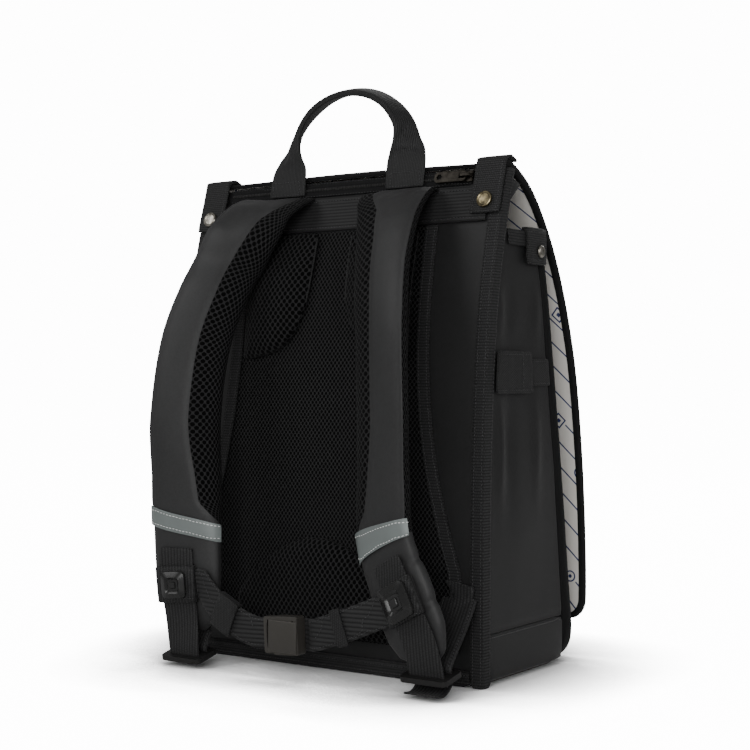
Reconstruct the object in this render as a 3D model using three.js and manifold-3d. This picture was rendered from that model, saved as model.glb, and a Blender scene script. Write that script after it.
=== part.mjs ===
// School back-pack with a stiff flap: millimetres, +Z up.
// The origin is the centre of the base. -Y is the side with the shoulder straps, +Y the side with the flap,
// and +X is to the right when the straps are looked at.
import * as THREE from 'three';
import { mergeVertices } from 'three/addons/utils/BufferGeometryUtils.js';
import Module from 'manifold-3d';

// Body sizes
const BODY_WIDTH = 295;
const BODY_DEPTH = 154;
const BACK_HEIGHT = 388;
const GUSSET_HEIGHT = 342;
const BASE_LIP = 38;
const CLOTH = 2.4;
const BACK_WALL = 3;
const BASE_WALL = 3;
const SEAM_GAP = 0.3;
const SIDE_CROWN = 2;
const SIDE_PINCH = 3.5;
const FRONT_CROWN = 14;

// Soft roll that frames the front panel
const ROLL_DEPTH = 26;
const ROLL_THICK = 18;
const ROLL_CORNER = 20;
const ROLL_CLEARANCE = 0.8;

// Tapes and bindings
const TAPE_WIDTH = 10;
const TAPE_THICK = 1.2;
const BINDING_HEIGHT = 11;
const BASE_TAPE_HEIGHT = 12;
const BORDER_TAPE_WIDTH = 11;
const BORDER_TAPE_THICK = 1.6;

// Flap
const FLAP_WIDTH = 295;
const FLAP_THICK = 2;
const LINING_THICK = 0.8;
const FLAP_CORNER = 14;
const FLAP_CROWN = 7;
const FLAP_EDGE_WRAP = 3.5;
const FLAP_EDGE_THICK = 1;
const CLASP_DIAMETER = 18;
const CLASP_HEIGHT = 62;

// Back padding
const MESH_THICK = 3;
const MESH_HALF_WIDTH = 83;
const MESH_TOP = 346;
const PAD_THICK = 7;
const LUMBAR_WIDTH = 168;
const LUMBAR_TOP = 103;
const LUMBAR_BOTTOM = 26;

// Top of the back: yoke, zip, corner tabs and handle
const YOKE_TOP = 374;
const YOKE_HEIGHT = 27;
const YOKE_THICK = 2.2;
const YOKE_HALF_WIDTH = 136;
const ZIP_HEIGHT = 12;
const ZIP_THICK = 1.4;
const TAB_WIDTH = 26;
const ZIP_TAB_GAP = 2.5;
const ZIP_HALF_WIDTH = FLAP_WIDTH / 2 + FLAP_EDGE_THICK - TAB_WIDTH - ZIP_TAB_GAP;
const TAB_THICK = 2.2;
const TAB_FOLD = 4;
const TAB_BOTTOM = 352;
const SNAP_DIAMETER = 13;
const SNAP_THICK = 2.6;
const HANDLE_SPACING = 116;
const HANDLE_BASE_WIDTH = 36;
const HANDLE_GRIP_WIDTH = 19;
const HANDLE_GRIP_THICK = 6;
const HANDLE_WEB_THICK = 2.4;
const HANDLE_RISE = 73;
const HANDLE_FOOT = 10;
const HANDLE_FLAT = 15;
const HANDLE_GATHER = 20;
const PULL_LENGTH = 29;
const PULL_WIDTH = 9;
const PULL_THICK = 1.6;
const SLIDER_LENGTH = 11;
const SLIDER_WIDTH = 9;
const SLIDER_THICK = 3.4;
const SLIDER_INSET = 5;
const BRIDGE_RISE = 4;
const BRIDGE_WIDTH = 2.6;
const PIVOT_CLEARANCE = 0.5;

// Shoulder straps
const STRAP_WIDTH = 60;
const STRAP_THICK = 17;
const STRAP_REACH = 50;
const STRAP_ROUNDNESS = 2.5;
const WEB_WIDTH = 30;
const WEB_THICK = 1.6;
const WEB_SHIFT = 6;
const REFLECTIVE_HEIGHT = 12;
const REFLECTIVE_THICK = 0.8;
const REFLECTIVE_LEVEL = 112;
const STRIP_CLEARANCE = 0.9;
const SLEEVE_HEIGHT = 29;
const SLEEVE_LEVEL = 66;
const SLEEVE_THICK = 2;
const STUD_SIZE = 21;
const STUD_HEIGHT = 6;
const LOCK_WIDTH = 40;
const LOCK_LENGTH = 25;
const LOCK_THICK = 4;
const LOCK_CLEARANCE = 0.6;
const ANCHOR_LEVEL = 66;
const ANCHOR_SIZE = 26;
const ANCHOR_THICK = 3;

// Chest strap
const CHEST_WIDTH = 24;
const CHEST_THICK = 1.8;
const CHEST_SAG = 26;
const CHEST_BOW = 8;
const KEEPERS = { left: { x: -46, length: 24 }, right: { x: 60, length: 11 } };
const KEEPER_GAP = 0.9;
const KEEPER_THICK = 1.2;
const BUCKLE_X = 10;
const BUCKLE_WIDTH = 33;
const BUCKLE_HEIGHT = 29;
const BUCKLE_THICK = 10;
const BUCKLE_RAIL = 2.6;
const LATCH_THICK = 6;

// Side pocket straps and gusset tabs
const BAND_LEVEL = 233;
const BAND_HEIGHT = 32;
const BAND_THICK = 1.8;
const POCKET_WEB_HEIGHT = 21;
const GUSSET_TAB_WIDTH = 29;
const GUSSET_TAB_HEIGHT = 26;
const GUSSET_TAB_THICK = 2.6;
const GUSSET_SNAP_DIAMETER = 10;

const HALF_WIDTH = BODY_WIDTH / 2;
const HALF_DEPTH = BODY_DEPTH / 2;
const FLAP_STACK = FLAP_THICK + SEAM_GAP + LINING_THICK;

const wasm = await Module();
wasm.setup();

const rucksack = new THREE.Group();
rucksack.name = 'school_backpack';

const FINISHES = {
  fabric: { color: 0x2b2b2c, roughness: 0.85, metalness: 0 },
  dark_fabric: { color: 0x1c1c1d, roughness: 0.9, metalness: 0 },
  mesh: { color: 0x1f1f20, roughness: 0.95, metalness: 0 },
  webbing: { color: 0x222223, roughness: 0.8, metalness: 0 },
  reflective: { color: 0x7d8787, roughness: 0.35, metalness: 0.2 },
  flap: { color: 0x303032, roughness: 0.7, metalness: 0 },
  lining: { color: 0xcfc9c2, roughness: 0.8, metalness: 0 },
  plastic: { color: 0x1b1a19, roughness: 0.45, metalness: 0 },
  metal: { color: 0xa79f8e, roughness: 0.3, metalness: 1 },
  gunmetal: { color: 0x4a453f, roughness: 0.35, metalness: 1 },
};

function add(name, geometry, finish) {
  const mesh = new THREE.Mesh(geometry, new THREE.MeshStandardMaterial(FINISHES[finish]));
  mesh.name = name;
  rucksack.add(mesh);
}

// A table with named columns, one object for each row
function table(columns, ...rows) {
  return rows.map((row) => Object.fromEntries(columns.map((column, index) => [column, row[index]])));
}

// Value of a column where another column, rising down the table, has the value given
function lookUp(rows, by, at, column) {
  const last = rows.length - 1;
  if (at <= rows[0][by]) return rows[0][column];
  if (at >= rows[last][by]) return rows[last][column];
  const next = rows.findIndex((row) => row[by] >= at);
  const [low, high] = [rows[next - 1], rows[next]];
  return THREE.MathUtils.mapLinear(at, low[by], high[by], low[column], high[column]);
}

// One closed solid from points and triangles, with its faces pointing out
function closedSolid(points, triangles) {
  let volume = 0;
  for (const [a, b, c] of triangles) {
    volume += points[a].dot(new THREE.Vector3().crossVectors(points[b], points[c])) / 6;
  }
  const facing = volume > 0 ? triangles : triangles.map(([a, b, c]) => [a, c, b]);
  const geometry = new THREE.BufferGeometry().setFromPoints(points);
  geometry.setIndex(facing.flat());
  geometry.computeVertexNormals();
  return geometry;
}

// Rings of equal count joined in order, with the two end rings filled in
function loft(rings, outline) {
  const count = rings[0].length;
  const triangles = [];
  for (let ring = 0; ring < rings.length - 1; ring++) {
    for (let index = 0; index < count; index++) {
      const next = (index + 1) % count;
      const [a, b] = [ring * count + index, ring * count + next];
      triangles.push([a, b, b + count], [a, b + count, a + count]);
    }
  }
  const end = (rings.length - 1) * count;
  const turns = THREE.ShapeUtils.area(outline) > 0;
  for (const [a, b, c] of THREE.ShapeUtils.triangulateShape(outline, [])) {
    const [first, third] = turns ? [a, c] : [c, a];
    triangles.push([third, b, first], [first + end, b + end, third + end]);
  }
  return closedSolid(rings.flat(), triangles);
}

// A flat outline carried through frames, each with an origin and two directions
function sweep(outline, frames) {
  const rings = frames.map(({ origin, across, out, stretch = 1 }) => outline.map((point) => origin.clone()
    .addScaledVector(across, point.x * stretch)
    .addScaledVector(out, point.y)));
  return loft(rings, outline);
}

// A wall between two surfaces, each a function of two shares from 0 to 1
function wall(columns, rows, outer, inner) {
  const points = [];
  for (const surface of [outer, inner]) {
    for (let row = 0; row <= rows; row++) {
      for (let column = 0; column <= columns; column++) points.push(surface(column / columns, row / rows));
    }
  }
  const width = columns + 1;
  const layer = width * (rows + 1);
  const triangles = [];
  for (let row = 0; row < rows; row++) {
    for (let column = 0; column < columns; column++) {
      const a = row * width + column;
      const [b, c, d] = [a + 1, a + width + 1, a + width];
      triangles.push([a, b, c], [a, c, d]);
      triangles.push([a + layer, c + layer, b + layer], [a + layer, d + layer, c + layer]);
    }
  }
  const rim = [];
  for (let column = 0; column < columns; column++) rim.push(column);
  for (let row = 0; row < rows; row++) rim.push(row * width + columns);
  for (let column = columns; column > 0; column--) rim.push(rows * width + column);
  for (let row = rows; row > 0; row--) rim.push(row * width);
  rim.forEach((a, index) => {
    const b = rim[(index + 1) % rim.length];
    triangles.push([b, a, a + layer], [b, a + layer, b + layer]);
  });
  return closedSolid(points, triangles);
}

function rectangle(left, low, right, high) {
  return [[left, low], [right, low], [right, high], [left, high]].map(([x, y]) => new THREE.Vector2(x, y));
}

// Channel with its mouth towards -X, around an edge of the thickness given
function channel(wrap, inside, thick) {
  const outside = inside + thick;
  return [[-wrap, outside], [thick, outside], [thick, -outside], [-wrap, -outside],
    [-wrap, -inside], [0, -inside], [0, inside], [-wrap, inside]].map(([x, y]) => new THREE.Vector2(x, y));
}

function roundedRectangle(width, height, radius) {
  const shape = new THREE.Shape();
  const [x, y] = [width / 2, height / 2];
  shape.moveTo(-x + radius, -y).lineTo(x - radius, -y);
  shape.absarc(x - radius, -y + radius, radius, -Math.PI / 2, 0);
  shape.lineTo(x, y - radius);
  shape.absarc(x - radius, y - radius, radius, 0, Math.PI / 2);
  shape.lineTo(-x + radius, y);
  shape.absarc(-x + radius, y - radius, radius, Math.PI / 2, Math.PI);
  shape.lineTo(-x, -y + radius);
  shape.absarc(-x + radius, -y + radius, radius, Math.PI, 1.5 * Math.PI);
  return shape;
}

function rectangularHole(left, low, right, high) {
  return new THREE.Path(rectangle(left, low, right, high));
}

function extrude(shape, depth, curveSegments = 3) {
  return new THREE.ExtrudeGeometry(shape, { depth, bevelEnabled: false, curveSegments });
}

// Geometry moved so that its x, y and z run along the directions given
function place(geometry, origin, xDirection, yDirection, zDirection) {
  const matrix = new THREE.Matrix4().makeBasis(xDirection, yDirection, zDirection).setPosition(origin);
  return geometry.applyMatrix4(matrix);
}

const AXIS_X = new THREE.Vector3(1, 0, 0);
const AXIS_Y = new THREE.Vector3(0, 1, 0);
const AXIS_Z = new THREE.Vector3(0, 0, 1);
const SIDES = [['left', -1], ['right', 1]];

// Side view of the back, front and roll; heights are shares of BACK_HEIGHT or GUSSET_HEIGHT,
// insets are shares of BODY_DEPTH, and the roll's depth is a share of ROLL_DEPTH
const BACK_PROFILE = table(['height', 'inset'],
  [0, 0], [0.27, 0], [0.45, 0.013], [0.59, 0.035], [0.66, 0.053], [0.745, 0.077],
  [0.825, 0.121], [0.902, 0.166], [1, 0.24]);
const FRONT_PROFILE = table(['height', 'inset', 'roll'],
  [0, 0, 1], [0.08, 0, 1], [0.143, 0.026, 1], [0.313, 0.082, 0.92], [0.468, 0.139, 0.8],
  [0.667, 0.214, 0.79], [0.781, 0.255, 0.75], [0.9, 0.31, 0.7], [1, 0.372, 0.7]);

function backY(z) {
  return -HALF_DEPTH + BODY_DEPTH * lookUp(BACK_PROFILE, 'height', z / BACK_HEIGHT, 'inset');
}

function frontY(z) {
  return HALF_DEPTH - BODY_DEPTH * lookUp(FRONT_PROFILE, 'height', z / GUSSET_HEIGHT, 'inset');
}

function creaseY(z) {
  return frontY(z) - ROLL_DEPTH * lookUp(FRONT_PROFILE, 'height', z / GUSSET_HEIGHT, 'roll');
}

// Outward direction of the back panel at a height, in its side view
function backNormal(z) {
  const step = 4;
  const above = Math.min(z + step, BACK_HEIGHT);
  const slope = (backY(above) - backY(z - step)) / (above - z + step);
  return new THREE.Vector3(0, -1, slope).normalize();
}

// Point at a distance out from the back panel
function offBack(x, z, distance) {
  return new THREE.Vector3(x, backY(z), z).addScaledVector(backNormal(z), distance);
}

const share = (low, high, at) => THREE.MathUtils.lerp(low, high, at);
const profileHeights = (profile, height) => profile.map((row) => row.height * height);

// Heights in rising order, with the bends of the back and, where asked, of the front between them
function withBends(heights, front = false) {
  const bends = profileHeights(BACK_PROFILE, BACK_HEIGHT);
  if (front) bends.push(...profileHeights(FRONT_PROFILE, GUSSET_HEIGHT));
  const [low, high] = [Math.min(...heights), Math.max(...heights)];
  const between = bends.filter((z) => z > low + 1 && z < high - 1);
  const all = [...heights, ...between].sort((a, b) => a - b);
  return all.filter((z, index) => index === 0 || z - all[index - 1] > 0.5 || z === high);
}

// Body walls
function backPanel() {
  const heights = profileHeights(BACK_PROFILE, BACK_HEIGHT);
  const rows = heights.length - 1;
  const surface = (depth) => (u, v) => {
    const z = heights[Math.round(v * rows)];
    return new THREE.Vector3(share(-HALF_WIDTH, HALF_WIDTH, u), backY(z) + depth, z);
  };
  add('back_panel', wall(1, rows, surface(0), surface(BACK_WALL)), 'fabric');
}

// How far the side cloth stands out at shares of its depth and height
function sideSwell(u, v) {
  const pleat = Math.exp(-(((v - (BAND_LEVEL - BASE_LIP) / (GUSSET_HEIGHT - BASE_LIP)) / 0.16) ** 2));
  return (SIDE_CROWN * Math.sin(Math.PI * v) - SIDE_PINCH * pleat) * Math.sin(Math.PI * u) ** 2;
}

function sideDepths(z) {
  return [backY(z) + BACK_WALL + SEAM_GAP, creaseY(z) - SEAM_GAP];
}

function sidePoint(side, u, z, out) {
  const [back, front] = sideDepths(z);
  const v = (z - BASE_LIP) / (GUSSET_HEIGHT - BASE_LIP);
  return new THREE.Vector3(side * (HALF_WIDTH + sideSwell(u, v) + out), share(back, front, u), z);
}

function sidePanels() {
  const pinch = [BAND_LEVEL - BAND_HEIGHT * 1.2, BAND_LEVEL, BAND_LEVEL + BAND_HEIGHT];
  const heights = withBends([BASE_LIP + SEAM_GAP, ...pinch, sideTop()], true);
  const rows = heights.length - 1;
  for (const [label, side] of SIDES) {
    const surface = (out) => (u, v) => sidePoint(side, u, heights[Math.round(v * rows)], out);
    add(`side_${label}`, wall(6, rows, surface(0), surface(-CLOTH)), 'fabric');
  }
}

const sideTop = () => GUSSET_HEIGHT - TAPE_THICK - SEAM_GAP;

function basePanel() {
  const outline = [[-HALF_WIDTH, 0], [HALF_WIDTH, 0], [HALF_WIDTH, BASE_LIP], [HALF_WIDTH - CLOTH, BASE_LIP],
    [HALF_WIDTH - CLOTH, BASE_WALL], [CLOTH - HALF_WIDTH, BASE_WALL], [CLOTH - HALF_WIDTH, BASE_LIP],
    [-HALF_WIDTH, BASE_LIP]].map(([x, z]) => new THREE.Vector2(x, z));
  const [back, front] = [sideDepths(0)[0], sideDepths(BASE_LIP)[1]];
  const frames = [back, front].map((y) => ({
    origin: new THREE.Vector3(0, y, 0), across: AXIS_X, out: AXIS_Z,
  }));
  add('base_panel', sweep(outline, frames), 'fabric');
}

// The roll's section: depth as a share of the roll, and thickness as a share of ROLL_THICK
const ROLL_SECTION = table(['depth', 'thick'],
  [0, 0.04], [0.12, -0.07], [0.45, -0.1], [0.73, 0.12], [0.92, 0.45], [1, 0.95], [0.96, 1], [0, 1]);

function frontRoll() {
  const stations = [];
  const heights = profileHeights(FRONT_PROFILE, GUSSET_HEIGHT).filter((z) => z > ROLL_CORNER).reverse();
  const cornerSteps = 4;
  for (const z of heights) stations.push({ x: -HALF_WIDTH, z, inward: new THREE.Vector3(1, 0, 0) });
  for (let step = 0; step <= cornerSteps; step++) {
    const angle = (Math.PI / 2) * (step / cornerSteps);
    const inward = new THREE.Vector3(Math.cos(angle), 0, Math.sin(angle));
    stations.push({
      x: -HALF_WIDTH + ROLL_CORNER - ROLL_CORNER * inward.x,
      z: ROLL_CORNER - ROLL_CORNER * inward.z,
      inward,
    });
  }
  const mirrored = stations.map(({ x, z, inward }) => ({ x: -x, z, inward: inward.clone().setX(-inward.x) }));
  const rings = [...stations, ...mirrored.reverse()].map(({ x, z, inward }) => {
    const flattest = z <= ROLL_CORNER ? 0 : -1;
    return ROLL_SECTION.map((row) => {
      const thick = Math.max(row.thick, flattest) * ROLL_THICK;
      const y = share(creaseY(z), frontY(z), row.depth);
      return new THREE.Vector3(x, y, z).addScaledVector(inward, thick);
    });
  });
  const outline = ROLL_SECTION.map(
    (row) => new THREE.Vector2(row.depth * ROLL_DEPTH, row.thick * ROLL_THICK));
  add('front_roll', loft(rings, outline), 'dark_fabric');
}

// How far the front panel bows out, as a share of FRONT_CROWN, by share of GUSSET_HEIGHT
const FRONT_BOW = table(['height', 'bow'],
  [0, 0], [0.1, 0.15], [0.3, 0.8], [0.5, 1], [0.7, 0.9], [0.88, 0.4], [1, 0.1]);

function frontPanelY(u, z) {
  const bow = lookUp(FRONT_BOW, 'height', z / GUSSET_HEIGHT, 'bow');
  return frontY(z) - CLOTH + FRONT_CROWN * bow * Math.sin(Math.PI * u) ** 2;
}

function frontPanel() {
  const half = HALF_WIDTH - ROLL_THICK - ROLL_CLEARANCE;
  const surface = (depth) => (u, v) => {
    const z = share(ROLL_THICK + ROLL_CLEARANCE, GUSSET_HEIGHT, v);
    return new THREE.Vector3(share(-half, half, u), frontPanelY(u, z) - depth, z);
  };
  add('front_panel', wall(8, 10, surface(0), surface(CLOTH)), 'fabric');
}

// Tapes on the back corners, folded round the corner of the back and side
function backTapes() {
  const reach = TAPE_WIDTH;
  const outline = [[-reach, 0], [-reach, -TAPE_THICK], [TAPE_THICK, -TAPE_THICK],
    [TAPE_THICK, reach], [0, reach],
    [0, 0]].map(([x, y]) => new THREE.Vector2(x, y));
  for (const [label, side] of SIDES) {
    const frames = profileHeights(BACK_PROFILE, BACK_HEIGHT).map((z) => ({
      origin: new THREE.Vector3(side * (HALF_WIDTH + SEAM_GAP), backY(z) - SEAM_GAP, z),
      across: AXIS_X.clone().multiplyScalar(side),
      out: AXIS_Y,
    }));
    add(`back_tape_${label}`, sweep(outline, frames), 'webbing');
  }
}

function baseTape() {
  const half = HALF_WIDTH - TAPE_WIDTH - SEAM_GAP;
  const outline = [[0, 0], [-TAPE_THICK, 0], [-TAPE_THICK - 0.8, BASE_TAPE_HEIGHT / 2],
    [-TAPE_THICK - 1.6, BASE_TAPE_HEIGHT - 2], [-TAPE_THICK, BASE_TAPE_HEIGHT], [0, BASE_TAPE_HEIGHT]]
    .map(([y, z]) => new THREE.Vector2(y, z));
  const frames = [-half, half].map((x) => ({
    origin: new THREE.Vector3(x, -HALF_DEPTH - SEAM_GAP, 0), across: AXIS_Y, out: AXIS_Z,
  }));
  add('base_tape', sweep(outline, frames), 'webbing');
}

// Bindings over the side panels' top edges
function gussetBindings() {
  const outline = channel(BINDING_HEIGHT, CLOTH / 2 + SEAM_GAP, TAPE_THICK);
  for (const [label, side] of SIDES) {
    const [back, front] = sideDepths(GUSSET_HEIGHT);
    const start = back + TAPE_WIDTH;
    const frames = [start, front].map((y) => ({
      origin: new THREE.Vector3(side * (HALF_WIDTH - CLOTH / 2), y, sideTop() + SEAM_GAP),
      across: AXIS_Z,
      out: AXIS_X,
    }));
    add(`gusset_binding_${label}`, sweep(outline, frames), 'webbing');
  }
}

function disc(diameter, thick, domed) {
  const radius = diameter / 2;
  const profile = [[0, 0], [radius, 0], [radius, thick * 0.45], [radius * 0.86, thick * 0.85],
    [radius * 0.6, domed ? thick : thick * 0.7], [0, domed ? thick : thick * 0.7]];
  return new THREE.LatheGeometry(profile.map(([x, y]) => new THREE.Vector2(x, y)), 16).rotateX(Math.PI / 2);
}

// Tabs with a snap over the roll's upper ends
function gussetTabs() {
  for (const [label, side] of SIDES) {
    const top = GUSSET_HEIGHT + SEAM_GAP;
    const x = HALF_WIDTH + ROLL_THICK * 0.1 + SEAM_GAP;
    const y = creaseY(GUSSET_HEIGHT) - GUSSET_TAB_WIDTH * 0.58;
    const outline = [[0, -GUSSET_TAB_HEIGHT], [GUSSET_TAB_THICK, -GUSSET_TAB_HEIGHT], [GUSSET_TAB_THICK, 1],
      [GUSSET_TAB_THICK - 1, GUSSET_TAB_THICK], [-4, GUSSET_TAB_THICK], [-4, 0], [0, 0]]
      .map(([a, b]) => new THREE.Vector2(a, b));
    const frames = [y, y + GUSSET_TAB_WIDTH].map((depth) => ({
      origin: new THREE.Vector3(side * x, depth, top),
      across: AXIS_X.clone().multiplyScalar(side),
      out: AXIS_Z,
    }));
    add(`gusset_tab_${label}`, sweep(outline, frames), 'webbing');
    const snap = disc(GUSSET_SNAP_DIAMETER, SNAP_THICK, true);
    const at = new THREE.Vector3(side * (x + GUSSET_TAB_THICK + SEAM_GAP), y + GUSSET_TAB_WIDTH * 0.62,
      top - GUSSET_TAB_HEIGHT * 0.6);
    const out = AXIS_X.clone().multiplyScalar(side);
    add(`gusset_snap_${label}`, place(snap, at, AXIS_Y.clone().multiplyScalar(side), AXIS_Z, out), 'metal');
  }
}

// Pocket strap on each side: a wide band from the back tape and a narrower web from the roll
function pocketStraps() {
  for (const [label, side] of SIDES) {
    const strap = (name, from, to, height, thick, lift) => {
      const [back, front] = sideDepths(BAND_LEVEL);
      const start = (from - back) / (front - back);
      const end = (to - back) / (front - back);
      const surface = (out) => (u, v) => {
        const z = share(BAND_LEVEL - height / 2, BAND_LEVEL + height / 2, v);
        const along = share(start, end, u);
        return sidePoint(side, along, z, 0).setX(side * (HALF_WIDTH + out));
      };
      add(`${name}_${label}`, wall(4, 1, surface(lift), surface(lift + thick)), 'webbing');
    };
    const [back, front] = sideDepths(BAND_LEVEL);
    const joint = share(back, front, 0.66);
    const tapeEdge = back + TAPE_WIDTH - BACK_WALL;
    strap('pocket_web', joint - 8, front, POCKET_WEB_HEIGHT, BAND_THICK, SEAM_GAP);
    strap('pocket_band', tapeEdge, joint, BAND_HEIGHT, BAND_THICK, 2 * SEAM_GAP + BAND_THICK);
  }
}

// Side view of the flap's outer face: height as a share of BACK_HEIGHT, reach as a share of BODY_DEPTH,
// and crown, how much its middle stands above its sides, as a share of FLAP_CROWN
const FLAP_PROFILE = table(['height', 'reach', 'crown'],
  [1.0122, -0.266, 0], [1.0122, -0.23, 0.5], [1.004, -0.18, 1], [0.993, -0.1175, 1], [0.9645, -0.002, 1],
  [0.91, 0.1175, 0.9], [0.855, 0.215, 0.7], [0.788, 0.303, 0.5], [0.73, 0.365, 0.35], [0.66, 0.427, 0.2],
  [0.587, 0.478, 0.1], [0.448, 0.536, 0], [0.313, 0.571, 0], [0.1655, 0.588, 0], [0.118, 0.582, 0],
  [0.103, 0.5768, 0], [0.0905, 0.5724, 0], [0.078, 0.568, 0]);

function flapStations() {
  const path = FLAP_PROFILE.map(
    (row) => new THREE.Vector3(0, row.reach * BODY_DEPTH, row.height * BACK_HEIGHT));
  const last = path.length - 1;
  return path.map((point, index) => {
    const along = path[Math.min(index + 1, last)].clone().sub(path[Math.max(index - 1, 0)]).normalize();
    const out = new THREE.Vector3(0, along.z, -along.y).negate();
    return { point, along, out, crown: FLAP_PROFILE[index].crown * FLAP_CROWN };
  });
}

const flapLine = flapStations();
const flapEnd = flapLine[flapLine.length - 1].point;

// Half width of the flap at a station, less where its lower corners are rounded
function flapHalfWidth(point, inset) {
  const radius = FLAP_CORNER - SEAM_GAP;
  const rise = Math.min(point.distanceTo(flapEnd), radius);
  return FLAP_WIDTH / 2 - inset - radius + Math.sqrt(Math.max(radius ** 2 - (radius - rise) ** 2, 0));
}

function flapPoint(u, station, depth, inset) {
  const across = 2 * u - 1;
  const x = across * flapHalfWidth(station.point, inset);
  const lift = station.crown * (1 - across ** 2) - depth;
  return station.point.clone().setX(x).addScaledVector(station.out, lift);
}

function flapSheet(depth, thick) {
  const rows = flapLine.length - 1;
  const surface = (at) => (u, v) => (
    flapPoint(u, flapLine[Math.round(v * rows)], at, SEAM_GAP + FLAP_EDGE_THICK));
  return wall(6, rows, surface(depth), surface(depth + thick));
}

function flap() {
  add('flap_outer', flapSheet(0, FLAP_THICK), 'flap');
  add('flap_lining', flapSheet(FLAP_THICK + SEAM_GAP, LINING_THICK), 'lining');
  const middle = FLAP_STACK / 2;
  const outline = channel(FLAP_EDGE_WRAP, middle + SEAM_GAP, FLAP_EDGE_THICK);
  const half = FLAP_WIDTH / 2 - FLAP_EDGE_THICK;
  const frames = [];
  const cornerSteps = 5;
  const straight = flapLine.filter(({ point }) => point.distanceTo(flapEnd) > FLAP_CORNER);
  const low = flapLine[flapLine.length - 1];
  const inner = FLAP_CORNER;
  for (const { point, out } of straight) {
    const origin = point.clone().setX(-half).addScaledVector(out, -middle);
    frames.push({ origin, across: AXIS_X.clone().negate(), out });
  }
  const edge = low.point.clone().addScaledVector(low.out, -middle).addScaledVector(low.along, SEAM_GAP);
  for (let step = 0; step <= cornerSteps; step++) {
    const angle = (Math.PI / 2) * (step / cornerSteps);
    const away = AXIS_X.clone().multiplyScalar(-Math.cos(angle))
      .addScaledVector(low.along, Math.sin(angle));
    const centre = edge.clone().addScaledVector(low.along, -inner).setX(-half + inner);
    frames.push({ origin: centre.addScaledVector(away, inner), across: away, out: low.out });
  }
  const mirrored = frames.map(({ origin, across, out }) => ({
    origin: origin.clone().setX(-origin.x), across: across.clone().setX(-across.x), out,
  })).reverse();
  add('flap_binding', sweep(outline, [...frames, ...mirrored]), 'webbing');

  const clasp = disc(CLASP_DIAMETER, 1, true);
  const start = frontPanelY(0.5, CLASP_HEIGHT) + SEAM_GAP + 1;
  const reach = FLAP_PROFILE.slice().reverse();
  const flapY = lookUp(reach, 'height', CLASP_HEIGHT / BACK_HEIGHT, 'reach') * BODY_DEPTH;
  clasp.scale(1, 1, flapY - FLAP_STACK - 2 * SEAM_GAP - start);
  const centre = new THREE.Vector3(0, start, CLASP_HEIGHT);
  add('flap_clasp', place(clasp, centre, AXIS_Z, AXIS_X, AXIS_Y), 'plastic');
}

// Cloth wedge that closes the upper end of the gap between the flap and the side
function cornerGussets() {
  for (const [label, side] of SIDES) {
    const low = GUSSET_HEIGHT + BINDING_HEIGHT;
    const start = (z) => backY(z) + BACK_WALL + SEAM_GAP;
    const high = BACK_HEIGHT * 0.985;
    const point = [-0.12 * BODY_DEPTH, BACK_HEIGHT * 0.973];
    const shape = new THREE.Shape([[start(low), low], [start(high), high], point]
      .map(([y, z]) => new THREE.Vector2(y, z)));
    const geometry = extrude(shape, CLOTH);
    const x = side > 0 ? HALF_WIDTH - CLOTH : -HALF_WIDTH;
    const origin = new THREE.Vector3(x, 0, 0);
    add(`corner_gusset_${label}`, place(geometry, origin, AXIS_Y, AXIS_Z, AXIS_X), 'dark_fabric');
  }
}

// Centre panel of spacer mesh: half width as a share of MESH_HALF_WIDTH by share of MESH_TOP
const MESH_OUTLINE = table(['height', 'half'],
  [0.07, 1.4], [0.15, 1.46], [0.23, 1.45], [0.32, 1.32], [0.43, 1.19], [0.58, 1.08], [0.72, 1.03], [1, 1]);

const meshHalf = (z) => MESH_HALF_WIDTH * lookUp(MESH_OUTLINE, 'height', z / MESH_TOP, 'half');

// A quilted pad on the back: its outer face stands out from the surface under it, and falls at its edges
function backPad(columns, heights, edges, base, thick) {
  const rows = heights.length - 1;
  const surface = (top) => (u, v) => {
    const z = heights[Math.round(v * rows)];
    const [left, right] = edges(z);
    const rise = top ? thick * Math.min(1, 0.22 + 3 * Math.min(u, 1 - u), 0.22 + 4 * Math.min(v, 1 - v)) : 0;
    return offBack(share(left, right, u), z, base + rise);
  };
  return wall(columns, rows, surface(true), surface(false));
}

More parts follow.
